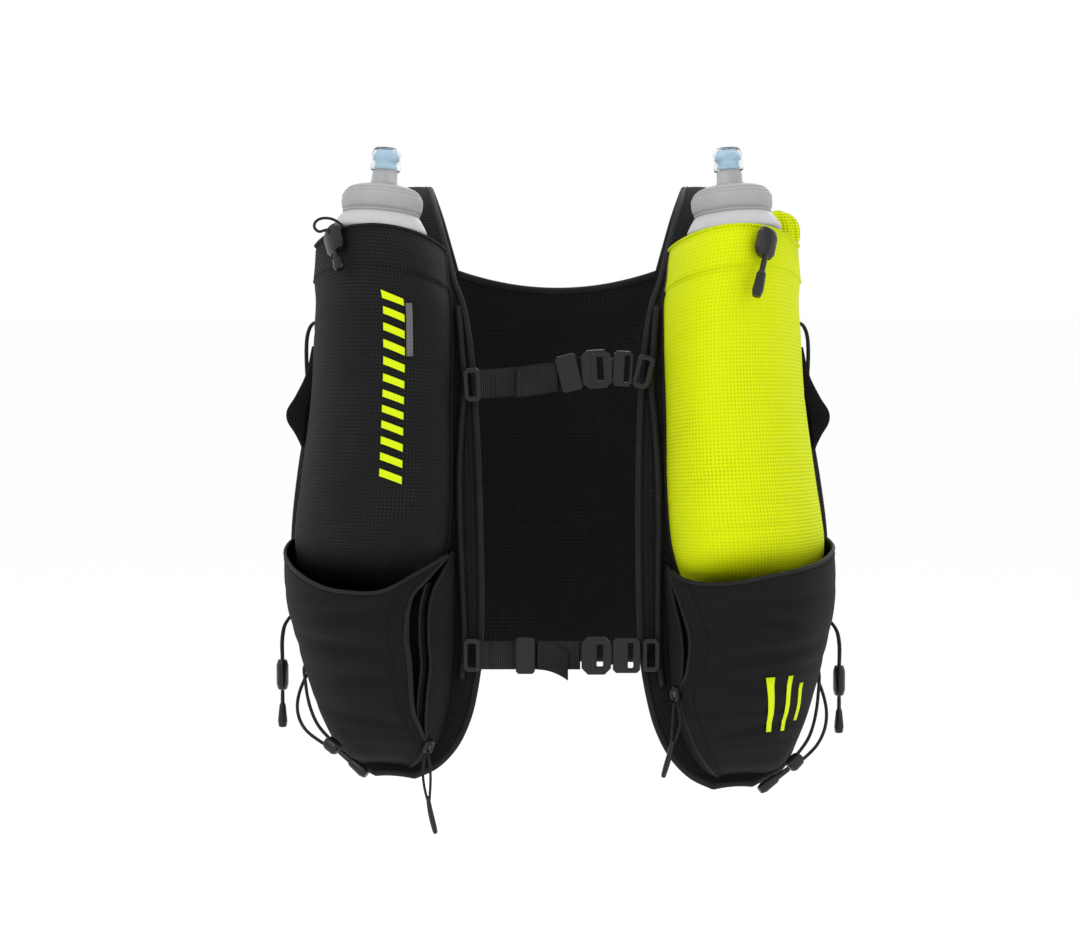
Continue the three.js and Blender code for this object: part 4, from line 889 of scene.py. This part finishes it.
def back_panel():
    join, joined, leave = 0.225, 0.325, 0.14

    def surface(u, v, way):
        across = -1 + 2 * v
        height = PAD / 2 * (way * rounded(v, 0.02) - 1)
        if way > 0 and u > 0.08:
            height -= 0.8 * math.exp(-((abs(across) - 0.42) / 0.012) ** 2)
        if u < 0.02:
            return nape_row(across, height)
        level = join + (1 - join) * ((u - 0.02) / 0.98)
        low = back_point(-level * BACK_DROP, across, height)
        share = min((level - join) / (joined - join), 1)
        if share == 1:
            return low
        end = back_point(-joined * BACK_DROP, across, height)
        start = nape_row(across, height).lerp(end, (level - leave) / (joined - leave))
        return start * (1 - share) + low * share

    panel = shell("back_pad", (60, 64), surface, (1, -1), "pad", ["back_panel"], "pad")
    for side in (-1, 1):
        seam(f"back_binding_{SUFFIX[side]}", 50,
             lambda t: back_point(-(0.235 + 0.765 * t) * BACK_DROP, side * 0.985, -PAD / 2), PAD + 1)
    seam("back_binding_low", 50, lambda t: back_point(-BACK_DROP + 1, -0.985 + 1.97 * t, -PAD / 2), PAD + 1)
    seam("nape_binding", 40, lambda t: nape_row(-0.54 + 1.08 * t, -PAD / 2), PAD + 1)


def back_pocket():
    height = REAR_SEAM - REAR_RIM

    def place(u, v, inset):
        across, out = pocket_arc(v, REAR_SQUARENESS)
        z = -REAR_SEAM + inset + u * (height - inset - 6 * (1 - out) * u)
        rise = min(1, math.sqrt(max(u * height / REAR_DEPTH, 0)))
        point = back_point(z, across * (0.80 - inset / BACK_HALF_WIDTH), 2 * SEAT_GAP)
        soft = 1.2 * math.sin(9 * v + 5 * u) * math.sin(math.pi * u) * (1 - u)
        point.y += max(REAR_DEPTH * rise * (0.86 + 0.14 * u) - inset + min(soft, 0.6), 0) * out
        return point

    shell("back_pocket_cloth", (50, 64), place, (0, WALL), "knit", ["back_pocket"], "black_cloth")
    seam("back_pocket_hem", 60, lambda t: place(1, t, 0.6), 3.0)
    stitches("back_pocket_stitches", line_of(lambda t: place(0.94, t, -0.2), 200))


# Bottle pockets: stretch cloth with a wide hem, creased towards the seams

HEM, HEM_FULLNESS, HEM_LOOSE = 27, 0.8, 0.9


def creased(creases, down, v):
    """Inward depth of a pocket's creases at a distance down, in millimetres."""
    depth = 0.0
    for at, where, tilt, reach_across, width, deep in creases:
        a = (down - at - tilt * (v - where) * 100) / width
        b = (v - where) / reach_across
        depth += deep * math.exp(-a * a - b * b)
    return depth


def bottle_rim(v):
    return -RIM_DROP + RIM_RISE * pocket_arc(v, BOTTLE_SQUARENESS)[1]


def bottle_pocket(side, look, slot):
    s = SUFFIX[side]

    def place(u, v, inset):
        top, bottom = bottle_rim(v), -SEAM_DROP + inset
        z = bottom + (top - bottom) * u
        down = top - z
        more = -HEM_FULLNESS if down < HEM else 0
        if inset < 0.1:
            more += (creased(CREASES[side], down, v) + 0.9 * math.exp(-((down - HEM) / 1.1) ** 2)
                     + 0.35 * math.exp(-((down - 3.5) / 0.8) ** 2))
        return bottle_point(side, z, v, inset + more)

    shell(f"bottle_pocket_cloth_{s}", (130, 60), place, (0, WALL), look, [f"bottle_pocket_{s}"], slot)
    seam(f"bottle_rim_{s}", 60, lambda t: place(1, t, -0.2), 2.2, look, slot)
    sewn = line_of(lambda v: bottle_point(side, bottle_rim(v) - HEM + 1.6, v, -HEM_LOOSE), 200)
    stitches(f"hem_stitches_{s}", sewn, slot, 0.5, 1.5, look)
    for v, word in ((0.0, "inner"), (1.0, "outer")):
        seam(f"bottle_seam_{word}_{s}", 60,
             lambda t: bottle_point(side, -RIM_DROP - 1 - (SEAM_DROP - RIM_DROP - 2) * t, v, -0.6), 2.6)


def rim_gather():
    """Spare cloth of the right rim, bunched behind the flask at the pocket's outer corner."""
    corner = bottle_point(1, -RIM_DROP - 4, 0.95, 0)
    fullness = table("up wide deep aside", [
        (0, 0.85, 0.9, -8.5), (0.12, 0.95, 1.0, -8), (0.35, 1.05, 1.05, -7), (0.6, 1.15, 0.95, -6.5),
        (0.82, 1.05, 0.85, -7.5), (0.94, 0.7, 0.55, -8.5), (1, 0.12, 0.12, -9)])

    def spot(u, angle):
        wide, deep, aside = read(fullness, "up", u, "wide deep aside")
        pucker = 1 + 0.10 * math.sin(6 * angle + 2.4 * u) + 0.06 * math.sin(11 * angle - 5 * u)
        x, y = aside + 9.5 * wide * pucker * math.cos(angle), 6.5 * deep * pucker * math.sin(angle)
        return corner + Vector((x, 4 + 2 * u + y, -6 + 40 * u)), (angle * 11, 52 * u)

    rings("rim_gather_r", 26, 56, spot, "yellow", "yellow_cloth")


# Soft flasks, caps and bite valves

def flask_point(side, down, angle):
    """Point of a flask at a share of its length, by the angle round it."""
    wide, deep, lean, aside = read(FLASK_SECTIONS, "down", down, "width depth lean aside")
    place, start, width, depth = bottle_section(-FLASK_TOP - down * FLASK_LENGTH)
    distance = start + width / 2 + (math.cos(angle) * wide / 2 - aside) * FLASK_WIDTH
    base = harness_point(side, place, across_at(place, distance), SEAT_GAP)
    behind = FLASK_FIT + FLASK_DEPTH / 2
    in_front = depth - WALL - 3 * FLASK_FIT - FLASK_DEPTH / 2
    forward = math.sin(angle) * deep * FLASK_DEPTH / 2
    base.z += forward * lean
    return base + outward(side, BOTTLE_SPLAY) * (max(behind, in_front) + forward)


def flask(side):
    s = SUFFIX[side]
    neck = (flask_point(side, 0, math.pi / 2) + flask_point(side, 0, -math.pi / 2)) / 2
    up = Vector((-side * math.tan(math.radians(LEAN_IN)), math.tan(math.radians(LEAN_BACK)), 1)).normalized()

    def spot(share, angle):
        down = share ** 1.5
        return flask_point(side, down, angle), (angle * FLASK_WIDTH / 2, down * FLASK_LENGTH)

    rings(f"flask_film_{s}", 60, 48, spot, "film", "flask", [f"flask_body_{s}"])
    base = neck + up * CAP_CLEARANCE
    foot = base + up * (CAP_HEIGHT + SEAT_GAP)
    r, q, w = CAP_DIAMETER / 2, STEM_DIAMETER / 2, SHIELD_DIAMETER / 2
    h, t, g = CAP_HEIGHT, STEM_HEIGHT, SHIELD_HEIGHT
    turned(f"flask_collar_{s}", neck, up, [
        (0, -11), (r, -11), (1.17 * r, -9), (1.15 * r, -7), (1.06 * r, -3), (0.98 * r, 0),
        (0.93 * r, 1.2), (0.90 * r, CAP_CLEARANCE - 0.3), (0, CAP_CLEARANCE - 0.3)], "film", "flask")
    turned(f"flask_cap_piece_{s}", base, up, [
        (0, -2.2), (0.90 * r, -2.2), (0.94 * r, -2.0), (0.955 * r, -1.4), (0.955 * r, -0.8),
        (0.93 * r, -0.5), (0.93 * r, 0.1), (0.97 * r, 0.5), (0.985 * r, 0.10 * h), (r, 0.22 * h),
        (r, 0.50 * h), (0.98 * r, 0.56 * h), (0.955 * r, 0.575 * h), (0.95 * r, 0.60 * h),
        (0.955 * r, 0.64 * h), (0.925 * r, 0.70 * h), (0.895 * r, 0.715 * h), (0.89 * r, 0.735 * h),
        (0.895 * r, 0.76 * h), (0.82 * r, 0.84 * h), (0.70 * r, 0.91 * h), (0.54 * r, 0.965 * h),
        (0.40 * r, h), (0.38 * r, h), (0, h)], "cap", "cap", [f"flask_cap_{s}"], 72)
    turned(f"valve_stem_{s}", foot, up, [
        (0, 0), (q, 0), (q, 0.8), (0.97 * q, 1.4), (0.92 * q, t), (0.86 * q, t + 1.2), (0, t + 1.2)],
        "stem", "valve", [f"bite_valve_{s}"])
    turned(f"valve_silicone_{s}", foot, up, [
        (0, t + 1.4), (0.62 * w, t + 1.4), (0.66 * w, t + 3), (0.58 * w, t + 4.2), (0.58 * w, t + 6.5),
        (0.70 * w, t + 7.6), (0.70 * w, t + 10.4), (0.5 * w, t + 13.2), (0, t + 13.4)],
        "silicone", "valve")
    turned(f"valve_shield_{s}", foot, up, [
        (0.90 * w, t + 1.2), (0.95 * w, t + 0.9), (w, t + 1.6), (w, t + 0.78 * g),
        (0.93 * w, t + 0.93 * g), (0.80 * w, t + g), (0, t + g), (0, t + g - 0.8), (0.76 * w, t + g - 0.8),
        (0.86 * w, t + 0.9 * g), (0.92 * w, t + 0.76 * g), (0.90 * w, t + 1.2)], "shield", "valve")


# Lower pockets with gussets, piping and zips

TAPE_FOOT, TAPE_TOP_EXTRA, TAPE_WIDTH = 0.958, 0.04, 7


def lower_place(side, u, v_of, inset):
    """Level and place across for a place across that depends on the zip at that level."""
    z = lower_level(side, u, 0.3, inset)
    for _ in range(4):
        v = v_of(*lower_section(side, z)[4:])
        z = lower_level(side, u, v, inset)
    return z, v


def lower_pocket(side):
    s = SUFFIX[side]

    def front(u, w, inset):
        def v_of(zip_, gape):
            start = zip_ + gape / 2
            return start + (1 - start) * w

        z, v = lower_place(side, u, v_of, inset)
        fold = creased(SOFT_FOLDS[side], -z, v) * math.sin(math.pi * min(u, 0.5)) if inset < 0.1 else 0
        return lower_point(side, z, v, inset + fold)

    def gusset(u, w, inset):
        z, v = lower_place(side, u, lambda zip_, gape: (zip_ - gape / 2) * w, inset)
        return lower_point(side, z, v, inset)

    shell(f"lower_pocket_cloth_{s}", (80, 56), front, (0, WALL), "knit", [f"lower_pocket_{s}"], "black_cloth")
    seam(f"lower_rim_piping_{s}", 60, lambda t: front(1, t, 0.5), 2.6)
    stitches(f"lower_rim_stitches_{s}", line_of(lambda t: front(0.975, t, -0.15), 160))
    seam(f"zip_piping_{s}", 70, lambda t: front(t, 0.0, 0.3), 3.0)
    stitches(f"zip_stitches_{s}", line_of(lambda t: front(t, 0.06, -0.15), 120))
    seam(f"zip_lap_{s}", 70, lambda t: front(t, 0.11, 0.0), 1.2, "knit", "black_cloth")
    shell(f"pocket_gusset_cloth_{s}", (60, 12), gusset, (0, WALL), "knit", [f"pocket_gusset_{s}"],
          "black_cloth")
    seam(f"gusset_piping_{s}", 60, lambda t: gusset(t, 1.0, 0.5), 2.0)

    under = WALL + 8 * SEAT_GAP
    top = LOWER_RIMS[side][1]["drop"] + TAPE_TOP_EXTRA
    for way, word in ((1, "front"), (-1, "back")):
        def tape(u, w, inset):
            z = -(TAPE_FOOT + (top - TAPE_FOOT) * u) * FRONT_DROP
            _, inner, outer, _, zip_, gape = lower_section(side, z)
            tuck = TAPE_WIDTH * 0.25 / (outer - inner)
            show = min(TAPE_WIDTH * 0.45 / (outer - inner), gape / 2 - 0.005)
            return lower_point(side, z, zip_ + way * (gape / 2 + tuck + (-show - tuck) * w), inset)

        shell(f"zip_tape_{word}_cloth_{s}", (60, 3), tape, (under, under + 1.2), "tape",
              [f"zip_tape_{word}_{s}"], "webbing")
        coil = smooth_line(line_of(lambda t: tape(t, 0.96, under - 0.3), 90), 2)
        stitches(f"zip_coil_{word}_{s}", coil, "plastic", 1.1, 1.3, "tooth")


# Zip pulls: a cord loop ending in a moulded grip

ZIP_DROP = {-1: 0.946, 1: 0.838}
ZIP_PULL = {-1: [(0, 0, 0), (0, -3, 14), (1.5, -3, 32), (5.5, -2, 50)],
            1: [(0, -0.5, 0), (0.5, -3, 13), (-3, -4, 29), (-8, -4, 47)]}
SLIDER_HALF_HEIGHT, SLIDER_LIFT, GRIP_FROM = 9.5 / 2, 1.6, 0.56


def zip_pull(side):
    s = SUFFIX[side]
    z = -ZIP_DROP[side] * FRONT_DROP
    zip_ = lower_section(side, z)[4]
    place = lower_point(side, z, zip_, 0)
    up = (lower_point(side, z + 6, zip_, 0) - place).normalized()
    aside = (lower_point(side, z, zip_ + 0.03, 0) - place).normalized()
    out = (aside.cross(up) * side).normalized()
    bevelled_copy(f"zip_slider_{s}", 0.9)
    body = place + out * (SLIDER_LIFT + SEAT_GAP)
    arch = ((3.6, 1.2), (2.6, 3.0), (0, 3.6), (-2.6, 3.0), (-3.6, 1.2))
    bridge = [body + up * a + out * b for a, b in arch]
    tube(f"zip_bridge_{s}", smooth_line(bridge, 6), 1.5, "plastic", "plastic")
    start = body + up * (-SLIDER_HALF_HEIGHT - 1) + out * 1.2
    line = smooth_line([start + Vector((x, y, -d)) for x, y, d in ZIP_PULL[side]], 16)
    grip_from = int(len(line) * GRIP_FROM)
    grip = line[grip_from:]
    n = len(grip) - 1
    widths = [2.6 + 4.4 * math.sin(math.pi * min(0.12 + 0.80 * i / n, 0.92)) ** 0.6 * (0.55 + 0.45 * i / n)
              for i in range(n)] + [3.4]
    tube(f"zip_grip_{s}", grip, widths, "plastic", "cord", [f"zip_pull_{s}"], 20, 0.62)
    for sign, word in ((-1, "a"), (1, "b")):
        strand = []
        for i, p in enumerate(line[:grip_from + 3]):
            bow = 0.7 + 1.7 * math.sin(math.pi * i / (grip_from + 2))
            strand.append(p + Vector((sign * bow, -0.4 * sign, 0)))
        tube(f"zip_cord_{word}_{s}", strand, 1.7, "cord", "cord")


# Rails, side mesh, side straps and sternum straps

WEB_WIDTH, WEB_HALF, STRAP_LEVEL, MESH_FOOT, MESH_TOP = 18, 0.8, -296, 0.44, 0.26
MESH_WAY = 0.985, -0.17


def rail(side):
    s = SUFFIX[side]
    top, bottom = RAIL_ROWS[0]["drop"], RAIL_ROWS[-1]["drop"]

    def point(t, *lift):
        return rail_point(side, -(bottom + (top - bottom) * t) * FRONT_DROP, *lift)

    tube(f"rail_piping_{s}", line_of(point, 80), RAIL_DIAMETER, "binding", "webbing", [f"rail_{s}"], 16)
    for word, off in (("a", -3.4), ("b", 3.4)):
        stitches(f"rail_stitches_{word}_{s}", line_of(lambda t: point(t, 0.3, off), 160))


def side_mesh(side):
    s = SUFFIX[side]

    def surface(u, v, inset):
        across, out = pocket_arc(v, MESH_SQUARENESS)
        z = -(MESH_FOOT + (MESH_TOP - MESH_FOOT) * u) * FRONT_DROP + inset * (1 - u)
        half = 0.014 - inset / PANEL_WIDTH * 0.5
        base = harness_point(side, front_place(z), 0.981 + across * half, SEAT_GAP)
        rise = max(MESH_DEPTH * along(MESH_SWELL, "up", u, "swell") - inset, 0) * out
        return base + Vector((side * MESH_WAY[0], MESH_WAY[1], 0)) * rise

    shell(f"side_mesh_cloth_{s}", (40, 16), surface, (0, WALL * 0.8), "mesh", [f"side_mesh_{s}"], "mesh")


def side_strap(side):
    s = SUFFIX[side]
    front = harness_point(side, front_place(STRAP_LEVEL), 1, 0)
    behind = [back_point(STRAP_LEVEL, side * share, SEAT_GAP + 4.0) for share in (0.88, 0.96, 1.04)]
    ahead = [Vector((side * (abs(front.x) - inward), front.y + back, STRAP_LEVEL - down))
             for inward, back, down in ((20, 74, 0), (9, 42, 1), (7.5, 13, 3))]
    line = smooth_line(behind + ahead, 12)
    last = len(line) - 1

    def surface(u, v, offset):
        i = round(u * last)
        tangent = line[min(i + 1, last)] - line[max(i - 1, 0)]
        flat = (Vector((tangent.y, -tangent.x, 0)) * -side).normalized()
        return line[i] + flat * offset + Vector((0, 0, (v - 0.5) * WEB_WIDTH))

    shell(f"side_strap_web_{s}", (last, 6), surface, (WEB_HALF, -WEB_HALF), "webbing", [f"side_strap_{s}"],
          "webbing")


STERNUM = {
    "upper_sternum": dict(drop=112, tail=(-25, 0.5), turn=0, sink=1.1, rises=table("at rise", [
        (-60, -6), (-30, -4), (0, 0), (14, 3.4), (30, 4.8), (46, 4.4), (60, 1)])),
    "lower_sternum": dict(drop=289, tail=(-12, 7), turn=7, sink=0, rises=table("at rise", [
        (-60, 0), (0, 0), (60, 0)])),
}


def sternum(name):
    strap = STERNUM[name]

    def level(x):
        return -strap["drop"] + along(strap["rises"], "at", x, "rise")

    def line(x, dy, dz):
        return Vector((x, depth + dy, level(x) + dz))

    rails = {side: rail_point(side, level(60 * side)) for side in (-1, 1)}
    depth = min(rails[-1].y, rails[1].y) - 7.0 + RAIL_DIAMETER / 2
    for word in ("ring_l", "ring_r", "keeper", "buckle_female", "buckle_male"):
        bevelled_copy(f"{name}_{word}", 0.7)

    def ribbon(a, b, offset, turn, sink):
        def surface(u, v, way):
            x = a + (b - a) * u
            sag = 0.25 * math.sin(0.35 * x) * math.sin(math.pi * u)
            lift = way * (WEB_HALF - 0.25 * (2 * abs(v - 0.5)) ** 6)
            return line(x, offset + lift + sag, (v - 0.5) * WEB_WIDTH - turn * u * u - sink)
        return surface

    start, end = rails[-1].x + 10.5 + WEB_HALF, 15.5 - WEB_HALF
    shell(f"{name}_web", (60, 10), ribbon(start - 2.4, end, 0, 0, 0), (-1, 1), "webbing",
          [f"{name}_webbing"], "webbing")
    a, b = strap["tail"]
    tail = ribbon(a, b, -2.0, strap["turn"], strap["sink"])
    shell(f"{name}_web_tail", (40, 10), tail, (-1, 1), "webbing", [], "webbing")
    fold = line_of(lambda t: line(a + 0.6, -1.4, (t - 0.5) * 17.6 - strap["sink"]), 10)
    tube(f"{name}_web_fold", fold, 3.4, "webbing", "webbing", sides=14)
    for off in (6, 8.5):
        sewn = line_of(lambda t: line(start + off, -1.0, (t - 0.5) * 15), 13)
        stitches(f"{name}_bartack_{int(off)}", sewn, "webbing", 0.7, 1.6)
    low, high = corners(f"{name}_buckle_female")
    for share, wide in ((0.14, 2.6), (0.40, 3.0), (0.86, 2.2)):
        x, middle, tall = low.x + (high.x - low.x) * share, (low.z + high.z) / 2, (high.z - low.z) * 0.40
        ridge = [Vector((x, low.y + 0.5, middle + tall * k / 6)) for k in range(-6, 7)]
        tube(f"{name}_ridge_{int(share * 100)}", ridge, wide, "plastic", "plastic", (), 14, 0.6,
             Vector((0, 1, 0)))
    for side in (-1, 1):
        hook = [rails[side] + Vector((-side, -RAIL_DIAMETER / 2 - 1.3, dz)) for dz in (-5, -2.5, 0, 2.5, 5)]
        tube(f"{name}_hook_{SUFFIX[side]}", hook, 3.2, "plastic", "plastic", sides=14)


# Print on the pocket fronts: plain marks, each between four corners given as place across and level

MARK_COUNT, MARK_TOP, MARK_STEP, MARK_ACROSS, MARK_HEIGHT, MARK_SLANT = 12, -69, 9.9, (0.365, 0.455), 4.6, 5
PATCH_ACROSS, PATCH_LEVELS = (0.325, 0.357), (-99, -67)
SMALL_MARKS = [(0.53, 0.50, -334, -296), (0.60, 0.57, -334, -296), (0.67, 0.64, -328, -302)]
SMALL_MARK_WIDTH, PRINT_HEIGHT = 0.02, 0.5


def patch(name, side, point, marked, look, lift, steps):
    """Thin print on a pocket, lifted off the cloth."""
    a, b, c, d = [Vector((v * 100, z, 0)) for v, z in marked]

    def surface(u, w, inset):
        spot = a.lerp(b, w).lerp(d.lerp(c, w), u)
        return point(side, spot.y, spot.x / 100, inset)

    shell(name, (steps, steps), surface, (lift, lift + PRINT_HEIGHT), look, [], "black_cloth")


def prints():
    v0, v1 = MARK_ACROSS
    for i in range(MARK_COUNT):
        z = MARK_TOP - MARK_STEP * i
        slanted = [(v0, z), (v1, z + MARK_SLANT), (v1, z + MARK_SLANT + MARK_HEIGHT), (v0, z + MARK_HEIGHT)]
        patch(f"neon_mark_{i}", -1, bottle_point, slanted, "neon", -1.15, 10)
    (v0, v1), (low, high) = PATCH_ACROSS, PATCH_LEVELS
    patch("grey_patch", -1, bottle_point, [(v0, low), (v1, low), (v1, high), (v0, high)], "grey", -1.15, 10)
    for i, (v0, v1, low, high) in enumerate(SMALL_MARKS):
        stroke = [(v0, low), (v0 + SMALL_MARK_WIDTH, low), (v1 + SMALL_MARK_WIDTH, high), (v1, high)]
        patch(f"small_mark_{i}", 1, lower_point, stroke, "neon", -0.55, 6)


for side in (-1, 1):
    harness_panel(side)
    bottle_pocket(side, "ripstop" if side < 0 else "yellow", "black_cloth" if side < 0 else "yellow_cloth")
    flask(side)
    lower_pocket(side)
    zip_pull(side)
    rail(side)
    side_mesh(side)
    side_strap(side)
    bevelled_copy(f"hem_lock_{SUFFIX[side]}", 0.8)
back_panel()
back_pocket()
rim_gather()
sternum("upper_sternum")
sternum("lower_sternum")
prints()


# Floor and light, with places in metres

FLOOR_LEVEL, FLOOR_REACH = -0.75, 30
LIT_POINT = Vector((0, -0.05, -0.18))
LIGHTS = (("key", (-1.4, -2.2, 1.5), 1.4, 20), ("fill", (1.9, -2.0, 0.7), 1.8, 9),
          ("top", (0, 0.2, 1.9), 1.5, 10), ("rim", (0.6, 2.2, 1.0), 1.4, 12))


def make_stage():
    mesh = bpy.data.meshes.new("floor")
    spots = ((-1, -1), (1, -1), (1, 2), (-1, 2))
    mesh.from_pydata([(x * FLOOR_REACH, y * FLOOR_REACH, FLOOR_LEVEL) for x, y in spots], [], [(0, 1, 2, 3)])
    floor = bpy.data.objects.new("floor", mesh)
    bpy.context.scene.collection.objects.link(floor)
    mesh.materials.append(Look("pale_floor", (0.985, 0.985, 0.985), 1.0, 0.0).mat)
    bpy.context.scene.view_settings.view_transform = "Standard"
    world = bpy.data.worlds.new("studio")
    bpy.context.scene.world = world
    world.use_nodes = True
    world.node_tree.nodes["Background"].inputs[0].default_value = (1, 1, 1, 1)
    world.node_tree.nodes["Background"].inputs[1].default_value = 1.0
    for name, place, size, power in LIGHTS:
        data = bpy.data.lights.new(name, "AREA")
        data.size = size
        data.energy = power
        light = bpy.data.objects.new(name, data)
        bpy.context.scene.collection.objects.link(light)
        light.location = place
        light.rotation_mode = "QUATERNION"
        light.rotation_quaternion = (LIT_POINT - Vector(place)).to_track_quat("-Z", "Y")


make_stage()
